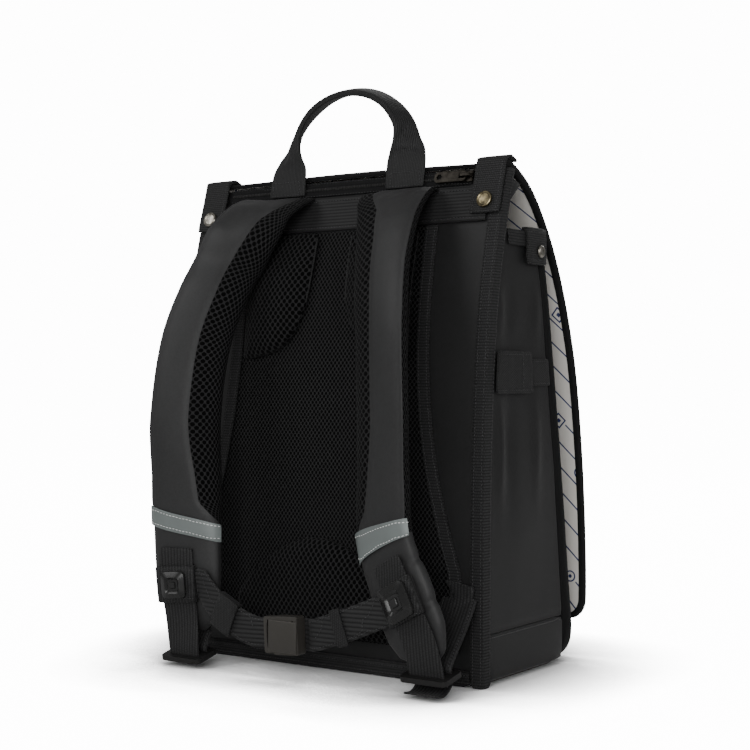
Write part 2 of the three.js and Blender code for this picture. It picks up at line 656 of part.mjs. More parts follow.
function backPadding() {
  const meshHeights = profileHeights(MESH_OUTLINE, MESH_TOP);
  const finer = withBends([...meshHeights, meshHeights[0] + 8, MESH_TOP - 8]);
  const centre = backPad(6, finer, (z) => [-meshHalf(z), meshHalf(z)], SEAM_GAP, MESH_THICK);
  add('centre_mesh', centre, 'mesh');
  for (const [label, side] of SIDES) {
    const rows = finer.length - 1;
    const surface = (out) => (u, v) => {
      const z = finer[Math.round(v * rows)];
      return offBack(side * (meshHalf(z) + SEAM_GAP + u * BORDER_TAPE_WIDTH), z, out);
    };
    const tape = wall(1, rows, surface(SEAM_GAP), surface(SEAM_GAP + BORDER_TAPE_THICK));
    add(`border_tape_${label}`, tape, 'webbing');

    // Upper pad: the inner edge by height, as a share of the mesh's half width; its outer edge is straight
    const inner = table(['height', 'edge'],
      [0.705, 0.82], [0.715, 0.62], [0.735, 0.46], [0.77, 0.32], [0.83, 0.23], [0.91, 0.2], [0.995, 0.19]);
    const outer = MESH_HALF_WIDTH * 0.97;
    const pad = backPad(5, withBends(profileHeights(inner, MESH_TOP)), (z) => {
      const edge = MESH_HALF_WIDTH * lookUp(inner, 'height', z / MESH_TOP, 'edge');
      return [side * edge, side * outer];
    }, 2 * SEAM_GAP + MESH_THICK, PAD_THICK);
    add(`upper_pad_${label}`, pad, 'mesh');
  }
  const arch = table(['height', 'half'],
    [0, 0.9], [0.15, 0.97], [0.35, 0.96], [0.6, 0.78], [0.8, 0.55], [0.93, 0.33],
    [1, 0.12]);
  const lumbar = backPad(6, arch.map((row) => share(LUMBAR_BOTTOM, LUMBAR_TOP, row.height)), (z) => {
    const at = (z - LUMBAR_BOTTOM) / (LUMBAR_TOP - LUMBAR_BOTTOM);
    const half = (LUMBAR_WIDTH / 2) * lookUp(arch, 'height', at, 'half');
    return [-half, half];
  }, 2 * SEAM_GAP + MESH_THICK, PAD_THICK);
  add('lumbar_pad', lumbar, 'mesh');
}

// Flat strip across the back between two heights
function backStrip(halfWidth, low, high, base, thick) {
  const heights = withBends([low, high]);
  const rows = heights.length - 1;
  const surface = (out) => (u, v) => (
    offBack(share(-halfWidth, halfWidth, u), heights[Math.round(v * rows)], out));
  return wall(1, rows, surface(base), surface(base + thick));
}

function topOfBack() {
  add('yoke', backStrip(YOKE_HALF_WIDTH, YOKE_TOP - YOKE_HEIGHT, YOKE_TOP, SEAM_GAP, YOKE_THICK), 'webbing');
  const zipLow = BACK_HEIGHT - ZIP_HEIGHT;
  add('zip_tape', backStrip(ZIP_HALF_WIDTH, zipLow, BACK_HEIGHT, SEAM_GAP, ZIP_THICK), 'webbing');
}

// Corner tabs: webbing folded from the yoke over the corner of the flap, with a snap
function cornerTabs() {
  const flapTop = flapLine[0].point;
  const over = FLAP_EDGE_THICK + 2 * SEAM_GAP + TAB_THICK / 2;
  const out = SEAM_GAP * 2 + YOKE_THICK + TAB_THICK / 2;
  const x = FLAP_WIDTH / 2 + FLAP_EDGE_THICK - TAB_WIDTH / 2;
  const lift = FLAP_CROWN * (1 - ((x - TAB_WIDTH / 2) / (FLAP_WIDTH / 2)) ** 2);
  for (const [label, side] of SIDES) {
    const levels = [TAB_BOTTOM, share(TAB_BOTTOM, BACK_HEIGHT, 0.5), BACK_HEIGHT - TAB_FOLD];
    const back = levels.map((z) => offBack(side * x, z, out));
    const rise = new THREE.Vector3(0, -FLAP_EDGE_THICK - 2 * SEAM_GAP, over);
    const crest = flapTop.clone().setX(side * x).add(rise);
    const ends = [flapLine[1], flapLine[2]].map(({ point, out: up }) => point.clone().setX(side * x)
      .addScaledVector(up, over + lift));
    const path = [...back, crest, ...ends];
    const outline = rectangle(-TAB_WIDTH / 2, -TAB_THICK / 2, TAB_WIDTH / 2, TAB_THICK / 2);
    add(`corner_tab_${label}`, sweep(outline, pathFrames(path, AXIS_X)), 'webbing');
    const level = share(TAB_BOTTOM, BACK_HEIGHT, 0.27);
    const normal = backNormal(level);
    const at = offBack(side * x, level, out + TAB_THICK / 2 + SEAM_GAP);
    const up = new THREE.Vector3().crossVectors(normal, AXIS_X);
    add(`snap_${label}`, place(disc(SNAP_DIAMETER, SNAP_THICK, false), at, AXIS_X, up, normal), 'metal');
  }
}

// Frames along a path of points, with the same direction across all the way
function pathFrames(path, ...widths) {
  const last = path.length - 1;
  return path.map((origin, index) => {
    const before = origin.clone().sub(path[Math.max(index - 1, 0)]).normalize();
    const after = path[Math.min(index + 1, last)].clone().sub(origin).normalize();
    const along = before.clone().add(after).normalize();
    const width = widths[Math.min(index, widths.length - 1)];
    const square = width.clone().addScaledVector(along, -width.dot(along)).normalize();
    const out = new THREE.Vector3().crossVectors(along, square);
    const bend = index > 0 && index < last ? Math.max(along.dot(before), 0.5) : 1;
    return { origin, along, across: square, out: out.divideScalar(bend) };
  });
}

// Handle: wide flat feet on the back's upper edge, gathered into a narrow grip that follows half an ellipse
function handle() {
  const footOut = 2 * SEAM_GAP + ZIP_THICK + HANDLE_WEB_THICK / 2;
  const half = HANDLE_SPACING / 2;
  const footTop = offBack(0, BACK_HEIGHT - 2, footOut + 1.5);
  const footY = offBack(0, BACK_HEIGHT - HANDLE_FOOT, footOut).y;
  const folded = share(HANDLE_BASE_WIDTH, HANDLE_GRIP_WIDTH, 0.55);
  const fold = BACK_HEIGHT + 1.2 * HANDLE_GATHER;
  const stations = table(['x', 'y', 'z', 'wide', 'thick', 'turn'],
    [half, footY, BACK_HEIGHT - HANDLE_FOOT, HANDLE_BASE_WIDTH, HANDLE_WEB_THICK, 0],
    [half, footTop.y, BACK_HEIGHT - 2, HANDLE_BASE_WIDTH, HANDLE_WEB_THICK, 0],
    [half, footTop.y + 3, BACK_HEIGHT + HANDLE_FLAT, HANDLE_BASE_WIDTH, HANDLE_WEB_THICK * 1.2, 0.05],
    [half, footTop.y + 5, fold, folded, HANDLE_GRIP_THICK * 0.8, 0.35]);
  const gripStart = BACK_HEIGHT + HANDLE_GATHER;
  const rise = HANDLE_RISE + BACK_HEIGHT - gripStart;
  const steps = 6;
  for (let step = 1; step <= steps; step++) {
    const angle = share(0.2, Math.PI / 2, step / steps);
    stations.push({
      x: half * Math.cos(angle),
      y: footTop.y + 6 + 3 * Math.sin(angle),
      z: gripStart + rise * Math.sin(angle),
      wide: HANDLE_GRIP_WIDTH,
      thick: HANDLE_GRIP_THICK,
      turn: Math.min(1, 0.6 + 0.15 * step),
      angle,
    });
  }
  const frames = stations.map(({ x, y, z, wide, thick, turn, angle = 0 }) => {
    const outward = new THREE.Vector3(Math.cos(angle), 0, Math.sin(angle));
    const along = new THREE.Vector3(-Math.sin(angle), 0, Math.cos(angle));
    const across = outward.clone().applyAxisAngle(along, turn * Math.PI * 0.42);
    const out = new THREE.Vector3().crossVectors(along, across);
    const origin = new THREE.Vector3(x, y, z);
    return { origin, across: across.multiplyScalar(wide), out: out.multiplyScalar(thick) };
  });
  const mirrored = frames.slice(0, -1).map(({ origin, across, out }) => ({
    origin: origin.clone().setX(-origin.x),
    across: across.clone().setX(-across.x),
    out: out.clone().setX(-out.x),
  }));
  const outline = [[-0.5, -0.3], [-0.4, -0.5], [0.4, -0.5], [0.5, -0.3], [0.5, 0.3], [0.4, 0.5], [-0.4, 0.5],
    [-0.5, 0.3]].map(([a, b]) => new THREE.Vector2(a, b));
  add('handle', sweep(outline, [...frames, ...mirrored.reverse()]), 'webbing');
}

// Zip slider with a bridge, and its pull, whose end bar lies under the bridge
function zipPull() {
  const level = BACK_HEIGHT - ZIP_HEIGHT / 2;
  const normal = backNormal(level);
  const up = new THREE.Vector3().crossVectors(normal, AXIS_X);
  const seat = offBack(ZIP_HALF_WIDTH - SLIDER_INSET, level, 2 * SEAM_GAP + ZIP_THICK);
  const half = SLIDER_LENGTH / 2;
  const plate = SLIDER_THICK * 0.5;
  const leg = 1.2;
  const crown = plate + BRIDGE_RISE;
  const foot = plate * 0.6;
  const side = [[-half, 0], [half, 0], [half, foot], [half * 0.75, crown], [-half * 0.75, crown],
    [-half, foot]];
  const outline = new THREE.Shape(side.map(([x, y]) => new THREE.Vector2(x, y)));
  outline.holes.push(rectangularHole(-half * 0.75 + leg, plate, half * 0.75 - leg, crown - leg));
  const bridge = solidOf(extrude(outline, BRIDGE_WIDTH).translate(0, 0, -BRIDGE_WIDTH / 2));
  const base = solidOf(extrude(new THREE.Shape(rectangle(-half, 0, half, plate)), SLIDER_WIDTH)
    .translate(0, 0, -SLIDER_WIDTH / 2));
  const down = up.clone().negate();
  add('zip_slider', place(geometryOf(bridge.add(base)), seat, AXIS_X, normal, down), 'gunmetal');

  const bar = PULL_THICK / 2;
  const eye = half * 0.75 + 1;
  const shape = roundedRectangle(PULL_LENGTH, PULL_WIDTH, PULL_WIDTH * 0.4);
  const end = PULL_LENGTH / 2;
  const eyeHalf = BRIDGE_WIDTH / 2 + 0.9;
  shape.holes.push(rectangularHole(end - 2 * bar - eye, -eyeHalf, end - 2 * bar, eyeHalf));
  const ring = new THREE.Path();
  ring.absarc(-end + PULL_WIDTH / 2, 0, PULL_WIDTH * 0.27, 0, 2 * Math.PI, true);
  shape.holes.push(ring);
  const pull = extrude(shape, PULL_THICK).translate(bar - end, 0, -PULL_THICK / 2);
  const pivot = seat.clone().addScaledVector(normal, plate + PIVOT_CLEARANCE + bar);
  add('zip_pull', place(pull, pivot, AXIS_X, up, normal), 'gunmetal');
}

function solidOf(geometry) {
  const bare = new THREE.BufferGeometry();
  bare.setAttribute('position', geometry.getAttribute('position'));
  if (geometry.index) bare.setIndex(geometry.index);
  const merged = mergeVertices(bare);
  const vertProperties = new Float32Array(merged.getAttribute('position').array);
  const triVerts = new Uint32Array(merged.index.array);
  return new wasm.Manifold(new wasm.Mesh({ numProp: 3, vertProperties, triVerts }));
}

function geometryOf(solid) {
  const { vertProperties, triVerts } = solid.getMesh();
  const geometry = new THREE.BufferGeometry();
  geometry.setAttribute('position', new THREE.BufferAttribute(vertProperties, 3));
  geometry.setIndex([...triVerts]);
  return geometry;
}

// Routes of the shoulder straps, from the yoke down: height as a share of BACK_HEIGHT, across as a share of
// HALF_WIDTH, reach out from the back as a share of STRAP_REACH, width and depth as shares of STRAP_WIDTH and
// STRAP_THICK, and turn, in degrees, of the face towards the middle
const STRAP_COLUMNS = ['height', 'across', 'reach', 'width', 'depth', 'turn'];
const STRAP_ROUTES = {
  left: table(STRAP_COLUMNS,
    [0.963, 0.42, 0.1, 1.17, 0.34, 0], [0.957, 0.42, 0.22, 1.14, 0.55, 0], [0.935, 0.46, 0.42, 1.1, 0.8, 6],
    [0.89, 0.51, 0.56, 1.06, 0.95, 11], [0.83, 0.58, 0.6, 1, 1, 15], [0.768, 0.62, 0.72, 1, 1, 17],
    [0.667, 0.67, 0.88, 1, 1, 18], [0.5, 0.67, 1.04, 1, 1, 18], [0.38, 0.655, 1.02, 1, 1, 16],
    [0.285, 0.65, 1, 1, 1, 14], [0.2, 0.645, 0.98, 1, 1, 12], [0.13, 0.635, 0.94, 0.9, 0.9, 10],
    [0.09, 0.63, 0.9, 0.66, 0.7, 8], [0.07, 0.63, 0.88, 0.36, 0.4, 8]),
  right: table(STRAP_COLUMNS,
    [0.963, 0.395, 0.1, 1.17, 0.34, 0], [0.957, 0.395, 0.21, 1.14, 0.55, 0],
    [0.935, 0.415, 0.38, 1.08, 0.8, 6],
    [0.89, 0.44, 0.54, 1.02, 0.95, 12], [0.8, 0.48, 0.7, 0.98, 1, 17], [0.68, 0.54, 0.84, 0.96, 1, 19],
    [0.52, 0.575, 0.85, 0.96, 1, 19], [0.4, 0.585, 0.83, 0.96, 1, 18], [0.278, 0.61, 0.84, 0.98, 1, 15],
    [0.18, 0.725, 0.88, 1, 1, 10], [0.115, 0.81, 0.9, 0.92, 0.85, 6], [0.078, 0.845, 0.9, 0.7, 0.55, 4],
    [0.06, 0.855, 0.9, 0.36, 0.3, 4]),
};

function strapCurve(label, side) {
  return new THREE.CatmullRomCurve3(STRAP_ROUTES[label].map((row) => {
    const z = row.height * BACK_HEIGHT;
    return new THREE.Vector3(side * row.across * HALF_WIDTH, backY(z) - row.reach * STRAP_REACH, z);
  }), false, 'centripetal');
}

const strapCurves = Object.fromEntries(SIDES.map(([label, side]) => [label, strapCurve(label, side)]));

// Place on a strap: t runs from 0 at the yoke to 1 at the free end
function strapFrame(label, side, t) {
  const rows = STRAP_ROUTES[label];
  const at = t * (rows.length - 1);
  const row = Math.min(Math.floor(at), rows.length - 2);
  const value = (column) => share(rows[row][column], rows[row + 1][column], at - row);
  const curve = strapCurves[label];
  const along = curve.getTangent(t);
  const turn = THREE.MathUtils.degToRad(value('turn'));
  const lateral = new THREE.Vector3(side * Math.cos(turn), -Math.sin(turn), 0);
  lateral.addScaledVector(along, -lateral.dot(along)).normalize();
  const out = new THREE.Vector3().crossVectors(along, lateral).multiplyScalar(side);
  return {
    origin: curve.getPoint(t), along, across: lateral, out,
    width: value('width') * STRAP_WIDTH, depth: value('depth') * STRAP_THICK,
  };
}

// Share of the strap's route at which its middle has a height
function strapShare(label, level) {
  let [high, low] = [0, 1];
  for (let step = 0; step < 30; step++) {
    const middle = (high + low) / 2;
    if (strapCurves[label].getPoint(middle).z > level) high = middle;
    else low = middle;
  }
  return low;
}

function strapSection(frame, angle, lift = 0) {
  const bend = 2 / STRAP_ROUNDNESS;
  const [c, s] = [Math.cos(angle), Math.sin(angle)];
  const a = Math.sign(c) * Math.abs(c) ** bend * (frame.width / 2 + lift);
  const b = Math.sign(s) * Math.abs(s) ** bend * (frame.depth / 2 + lift);
  return frame.origin.clone().addScaledVector(frame.across, a).addScaledVector(frame.out, b);
}

// Point over the outer face of a strap, level with its crown
function strapFace(frame, across, lift) {
  return frame.origin.clone().addScaledVector(frame.across, across)
    .addScaledVector(frame.out, frame.depth / 2 + lift);
}

const STRAP_SIDES = 12;

function shoulderStraps() {
  const outline = [];
  for (let index = 0; index < STRAP_SIDES; index++) {
    const angle = (2 * Math.PI * index) / STRAP_SIDES;
    outline.push(new THREE.Vector2(Math.cos(angle), Math.sin(angle)));
  }
  for (const [label, side] of SIDES) {
    const steps = STRAP_ROUTES[label].length - 1;
    const rings = [];
    for (let step = 0; step <= steps; step++) {
      const frame = strapFrame(label, side, step / steps);
      rings.push(outline.map((point) => strapSection(frame, Math.atan2(point.y, point.x))));
    }
    add(`shoulder_strap_${label}`, loft(rings, outline), 'fabric');
  }
}

const REFLECTIVE_TILT = { left: 0.2, right: 0.12 };

function reflectiveStrips() {
  for (const [label, side] of SIDES) {
    const middle = strapShare(label, REFLECTIVE_LEVEL);
    const length = strapCurves[label].getLength();
    const surface = (lift) => (u, v) => {
      const angle = share(0.06, 0.94, u) * Math.PI;
      const across = (STRAP_WIDTH / 2) * Math.cos(angle);
      const along = (v - 0.5) * REFLECTIVE_HEIGHT - REFLECTIVE_TILT[label] * across;
      return strapSection(strapFrame(label, side, middle + along / length), angle, lift);
    };
    const lift = STRIP_CLEARANCE;
    add(`reflective_${label}`, wall(8, 1, surface(lift), surface(lift + REFLECTIVE_THICK)), 'reflective');
  }
}

// Ladder locks near the floor: across as a share of HALF_WIDTH, out as a share of STRAP_REACH from the back's
// foot; tail: the loose end under a lock, forward and up as shares of LOCK_LENGTH
const LOCKS = {
  left: { across: 0.645, out: 0.98, level: 8, tilt: 14, tail: [] },
  right: {
    across: 0.885, out: 0.88, level: 15, tilt: 12,
    tail: [[-0.2, -0.24], [0.02, -0.4], [0.32, -0.46], [0.62, -0.33]],
  },
};

function lockFrame(label, side) {
  const { across, out, level, tilt } = LOCKS[label];
  const angle = THREE.MathUtils.degToRad(tilt);
  const origin = new THREE.Vector3(side * across * HALF_WIDTH, -HALF_DEPTH - out * STRAP_REACH, level);
  const forward = new THREE.Vector3(0, -Math.cos(angle), -Math.sin(angle));
  const up = new THREE.Vector3(0, -Math.sin(angle), Math.cos(angle));
  return { origin, across: AXIS_X, forward, up };
}

function ladderLocks() {
  const slot = WEB_THICK + 2 * LOCK_CLEARANCE;
  for (const [label, side] of SIDES) {
    const { origin, across, forward, up } = lockFrame(label, side);
    const shape = roundedRectangle(LOCK_WIDTH, LOCK_LENGTH, 4);
    for (const centre of [-LOCK_LENGTH / 5, LOCK_LENGTH / 5]) {
      const half = WEB_WIDTH / 2 + LOCK_CLEARANCE;
      shape.holes.push(rectangularHole(-half, centre - slot / 2, half, centre + slot / 2));
    }
    const geometry = extrude(shape, LOCK_THICK).translate(0, 0, -LOCK_THICK / 2);
    const rear = forward.clone().negate();
    add(`ladder_lock_${label}`, place(geometry, origin, across, rear, up), 'plastic');
  }
}

// Last two stations of webbing that goes down into a slot of a lock
function intoSlot(lock, centre) {
  const slot = lock.origin.clone().addScaledVector(lock.forward, centre);
  return [LOCK_THICK / 2 + 3, -LOCK_THICK / 3].map((lift) => slot.clone().addScaledVector(lock.up, lift));
}

// Webbing down the face of each strap, from the reflective strip into the lock's front slot
function strapWebbing() {
  const outline = rectangle(-WEB_WIDTH / 2, -WEB_THICK / 2, WEB_WIDTH / 2, WEB_THICK / 2);
  for (const [label, side] of SIDES) {
    const lowest = strapCurves[label].getPoint(1).z;
    const top = REFLECTIVE_LEVEL - REFLECTIVE_HEIGHT - 6;
    const frames = [0, 0.16, 0.32, 0.48, 0.64, 0.8]
      .map((at) => strapFrame(label, side, strapShare(label, share(top, lowest, at))));
    const path = frames.map((frame) => strapFace(frame, WEB_SHIFT, 2 * SEAM_GAP + WEB_THICK / 2));
    const widths = frames.map((frame) => frame.across.clone().multiplyScalar(side));
    path.push(...intoSlot(lockFrame(label, side), LOCK_LENGTH / 5));
    add(`strap_webbing_${label}`, sweep(outline, pathFrames(path, ...widths, AXIS_X)), 'webbing');
  }
}

// Sleeves round the webbing, each with a square stud
function sleeves() {
  const inside = WEB_WIDTH / 2 + SEAM_GAP * 2;
  const top = WEB_THICK + 5 * SEAM_GAP;
  const outline = [[-inside - SLEEVE_THICK, 0], [-inside - SLEEVE_THICK, top + SLEEVE_THICK],
    [inside + SLEEVE_THICK, top + SLEEVE_THICK], [inside + SLEEVE_THICK, 0], [inside, 0], [inside, top],
    [-inside, top], [-inside, 0]].map(([a, b]) => new THREE.Vector2(a, b));
  for (const [label, side] of SIDES) {
    const frame = strapFrame(label, side, strapShare(label, SLEEVE_LEVEL));
    const origin = strapFace(frame, WEB_SHIFT, 2 * SEAM_GAP);
    const frames = [-0.5, 0.5].map((end) => ({
      origin: origin.clone().addScaledVector(frame.along, end * SLEEVE_HEIGHT),
      across: frame.across,
      out: frame.out,
    }));
    add(`sleeve_${label}`, sweep(outline, frames), 'webbing');
    const stud = new THREE.CylinderGeometry(STUD_SIZE * 0.22, STUD_SIZE / Math.SQRT2, STUD_HEIGHT, 4)
      .rotateY(Math.PI / 4).translate(0, STUD_HEIGHT / 2, 0);
    const seat = origin.clone().addScaledVector(frame.out, top + SLEEVE_THICK + SEAM_GAP);
    const third = new THREE.Vector3().crossVectors(frame.across, frame.out);
    add(`stud_${label}`, place(stud, seat, frame.across, frame.out, third), 'plastic');
  }
}

// Lower webbing from the side seam to the rear slot of each lock: shares of the way across, out and down
const ANCHOR_ROUTE = table(['across', 'out', 'down'],
  [0, 0, 0], [0.1, 0.2, 0.26], [0.5, 0.56, 0.6], [1, 0.9, 0.88]);

function anchors() {
  const outline = rectangle(-WEB_WIDTH / 2, -WEB_THICK / 2, WEB_WIDTH / 2, WEB_THICK / 2);
  for (const [label, side] of SIDES) {
    const seat = -HALF_DEPTH - TAPE_THICK - BORDER_TAPE_THICK;
    const edge = side * (HALF_WIDTH - 4);
    const start = new THREE.Vector3(edge - side * (ANCHOR_SIZE / 2), seat - ANCHOR_THICK / 2, ANCHOR_LEVEL);
    const [above, inside] = intoSlot(lockFrame(label, side), -LOCK_LENGTH / 5);
    const path = ANCHOR_ROUTE.map(({ across, out, down }) => new THREE.Vector3(
      share(start.x, above.x, across), share(start.y, above.y, out), share(start.z, above.z, down)));
    const { origin, forward, up } = lockFrame(label, side);
    const tail = LOCKS[label].tail.map(([ahead, lift]) => origin.clone()
      .addScaledVector(forward, ahead * LOCK_LENGTH).addScaledVector(up, lift * LOCK_LENGTH));
    const webbing = solidOf(sweep(outline, pathFrames([...path, above, inside, ...tail], AXIS_X)));
    const [low, high] = [ANCHOR_LEVEL - ANCHOR_SIZE / 2, ANCHOR_LEVEL + ANCHOR_SIZE / 2];
    const corners = [[edge, high - 4], [edge - side * ANCHOR_SIZE, high], [edge - side * 4, low]];
    const tab = new THREE.Shape(corners.map(([x, z]) => new THREE.Vector2(x, z)));
    const plate = solidOf(extrude(tab, ANCHOR_THICK).rotateX(Math.PI / 2).translate(0, seat, 0));
    add(`anchor_${label}`, geometryOf(webbing.add(plate)), 'webbing');
  }
}

// Chest strap: it hangs from the sleeves in a shallow curve; x is measured from the middle of the bag
function sleeveEdge(label, side) {
  const frame = strapFrame(label, side, strapShare(label, SLEEVE_LEVEL));
  const edge = WEB_SHIFT - WEB_WIDTH / 2 - SLEEVE_THICK - 4 * SEAM_GAP;
  return strapFace(frame, edge, WEB_THICK + 3 * SEAM_GAP);
}

function chestPoint(x) {
  const [label, side] = SIDES[x < 0 ? 0 : 1];
  const end = sleeveEdge(label, side);
  const near = (x / end.x) ** 2;
  const level = ANCHOR_LEVEL - CHEST_SAG;
  return new THREE.Vector3(x, share(end.y - CHEST_BOW, end.y, near), share(level - 5, end.z, near));
}

function buckleFrame() {
  const origin = chestPoint(BUCKLE_X);
  const along = chestPoint(BUCKLE_X + 5).sub(chestPoint(BUCKLE_X - 5)).normalize();
  const up = AXIS_Z.clone().addScaledVector(along, -along.z).normalize();
  return { origin, along, up, out: new THREE.Vector3().crossVectors(along, up) };
}

const BUCKLE_LATCH_LENGTH = BUCKLE_WIDTH * 0.28;
const SLOT_GAP = CHEST_THICK / 2 + 0.8;

function chestStrap() {
  const { origin, along, up, out } = buckleFrame();
  const outline = rectangle(-CHEST_WIDTH / 2, -CHEST_THICK / 2, CHEST_WIDTH / 2, CHEST_THICK / 2);
  const half = BUCKLE_WIDTH / 2;
  for (const [label, side] of SIDES) {
    const keeper = KEEPERS[label];
    const ends = [keeper.x + side * keeper.length / 2, keeper.x - side * keeper.length / 2].map(chestPoint);
    const depth = side < 0 ? LATCH_THICK / 2 : BUCKLE_THICK / 2;
    const slot = half - BUCKLE_RAIL - SLOT_GAP;
    const behind = -depth - 2 * SEAM_GAP - CHEST_THICK / 2;
    const local = [[half + 10, -1], [half + 3, behind], [slot, behind], [slot, depth / 4]];
    const inBuckle = local.map(
      ([a, o]) => origin.clone().addScaledVector(along, side * a).addScaledVector(out, o));
    const sleeve = strapFrame(label, side, strapShare(label, SLEEVE_LEVEL));
    const edge = sleeveEdge(label, side);
    const path = [edge, edge.clone().addScaledVector(sleeve.across, -5), ...ends, ...inBuckle];
    const upright = sleeve.along.clone().negate();
    const frames = pathFrames(path, upright, upright, AXIS_Z);
    add(`chest_strap_${label}`, sweep(outline, frames), 'webbing');

    const [wide, thick] = [CHEST_WIDTH + 2 * KEEPER_GAP, CHEST_THICK + 2 * KEEPER_GAP];
    const shape = roundedRectangle(wide + 2 * KEEPER_THICK, thick + 2 * KEEPER_THICK, KEEPER_THICK * 0.7);
    shape.holes.push(rectangularHole(-wide / 2, -thick / 2, wide / 2, thick / 2));
    const axis = ends[1].clone().sub(ends[0]).normalize();
    const middle = ends[0].clone().add(ends[1]).multiplyScalar(0.5);
    const across = AXIS_Z.clone().addScaledVector(axis, -axis.z).normalize();
    const length = keeper.length - 2;
    const third = new THREE.Vector3().crossVectors(axis, across);
    const tube = extrude(shape, length, 1).translate(0, 0, -length / 2);
    add(`keeper_${label}`, place(tube, middle, across, third, axis), 'webbing');
  }
}

function buckle() {
  const { origin, along, up, out } = buckleFrame();
  const half = BUCKLE_WIDTH / 2;
  const slot = half - BUCKLE_RAIL - SLOT_GAP;
  const tall = CHEST_WIDTH / 2 + 0.6;
  const split = BUCKLE_LATCH_LENGTH - half;
  const frameAt = (from, to, height, thick, slotX) => {
    const shape = roundedRectangle(to - from, height, 2);
    const middle = (from + to) / 2;
    shape.holes.push(rectangularHole(slotX - middle - SLOT_GAP, -tall, slotX - middle + SLOT_GAP, tall));
    const geometry = extrude(shape, thick, 2).translate(middle, 0, -thick / 2);
    return place(geometry, origin, along, up, out);
  };
  add('buckle_latch', frameAt(-half, split, BUCKLE_HEIGHT - 1, LATCH_THICK, -slot), 'plastic');
  add('buckle_body', frameAt(split + SEAM_GAP, half, BUCKLE_HEIGHT, BUCKLE_THICK, slot), 'plastic');
}

backPanel();
sidePanels();
basePanel();
frontRoll();
frontPanel();
backTapes();
baseTape();
gussetBindings();
gussetTabs();
pocketStraps();
flap();
cornerGussets();
backPadding();
topOfBack();
cornerTabs();
handle();
zipPull();
shoulderStraps();
reflectiveStrips();
ladderLocks();
strapWebbing();
sleeves();
anchors();
chestStrap();
buckle();

export default rucksack;
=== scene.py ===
"""Looks of a school back-pack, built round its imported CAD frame."""

import logging
import math
from dataclasses import dataclass, field
from enum import Enum
from typing import Callable, ClassVar, Iterable, Sequence

import bmesh
import bpy
from mathutils import Matrix, Vector, noise
from mathutils.bvhtree import BVHTree


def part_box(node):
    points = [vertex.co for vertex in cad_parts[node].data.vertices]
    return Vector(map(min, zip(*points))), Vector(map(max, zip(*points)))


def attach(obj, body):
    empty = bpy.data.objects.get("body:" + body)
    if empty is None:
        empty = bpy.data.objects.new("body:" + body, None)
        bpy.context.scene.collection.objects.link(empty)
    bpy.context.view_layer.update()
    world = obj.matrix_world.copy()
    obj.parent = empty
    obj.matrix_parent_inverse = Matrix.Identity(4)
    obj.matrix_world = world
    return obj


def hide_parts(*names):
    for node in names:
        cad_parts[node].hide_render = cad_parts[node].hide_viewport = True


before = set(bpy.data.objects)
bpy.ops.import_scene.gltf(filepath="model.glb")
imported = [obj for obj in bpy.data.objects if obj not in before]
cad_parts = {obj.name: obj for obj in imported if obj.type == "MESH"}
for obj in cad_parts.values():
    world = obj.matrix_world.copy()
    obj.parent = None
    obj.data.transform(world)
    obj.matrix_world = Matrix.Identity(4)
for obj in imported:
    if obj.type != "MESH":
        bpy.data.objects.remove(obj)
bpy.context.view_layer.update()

log = logging.getLogger("back_pack")
MM = 0.001
BAG = "bag"
PULL = "zip_pull"
SIDES = (("left", -1), ("right", 1))
Thing = bpy.types.Object
Pairs = Sequence[tuple[float, float]]
Triples = Sequence[tuple[float, float, float]]
Placed = Callable[[int, int], Vector]
Displacement = Callable[[Vector, Vector], Vector]

# Nodes and shader maths


def add_node(
    tree: bpy.types.NodeTree,
    kind: str,
    settings: dict[str, object] | None = None,
    inputs: dict[int | str, object] | None = None,
) -> bpy.types.Node:
    """Adds a node.

    Args:
        tree: node tree that gets it.
        kind: node type.
        settings: properties that are set first.
        inputs: values, sockets or signals by socket index or name.

    Returns:
        The node.
    """
    made = tree.nodes.new(kind)
    for key, value in (settings or {}).items():
        setattr(made, key, value)
    for key, value in (inputs or {}).items():
        feed(tree, made.inputs[key], value)
    return made


def feed(tree: bpy.types.NodeTree, socket: bpy.types.NodeSocket, value: object) -> None:
    """Links a socket or signal to a socket, or sets the socket to a value."""
    value = getattr(value, "socket", value)
    if isinstance(value, bpy.types.NodeSocket):
        tree.links.new(value, socket)
    else:
        socket.default_value = value


def maths(operation: str, swapped: bool = False) -> Callable[..., "Signal"]:
    """Makes a method of Signal that adds a Math node.

    Args:
        operation: Math node operation.
        swapped: whether the signal is the node's last term instead of its first.

    Returns:
        The method, which returns the node's output.
    """

    def method(self: "Signal", *terms: "Signal | float") -> "Signal":
        """The node's output."""
        ordered = (*terms, self) if swapped else (self, *terms)
        return self.shader.node("ShaderNodeMath", {"operation": operation}, dict(enumerate(ordered)))

    return method


class Signal:
    """One output of a material's nodes, for use in Python expressions."""

    __add__ = __radd__ = maths("ADD")
    __sub__, __rsub__ = maths("SUBTRACT"), maths("SUBTRACT", swapped=True)
    __mul__ = __rmul__ = maths("MULTIPLY")
    __truediv__, __pow__, __abs__ = maths("DIVIDE"), maths("POWER"), maths("ABSOLUTE")
    fract, floor, sine, root = maths("FRACT"), maths("FLOOR"), maths("SINE"), maths("SQRT")
    least, most, above = maths("MINIMUM"), maths("MAXIMUM"), maths("GREATER_THAN")

    def __init__(self, shader: "Shader", socket: bpy.types.NodeSocket) -> None:
        """Keeps the socket and the material that it belongs to."""
        self.shader = shader
        self.socket = socket

    def ramp(self, low: float, high: float) -> "Signal":
        """Smooth step from 0 at low to 1 at high."""
        settings = {"interpolation_type": "SMOOTHSTEP"}
        return self.shader.node("ShaderNodeMapRange", settings, {0: self, 1: low, 2: high})


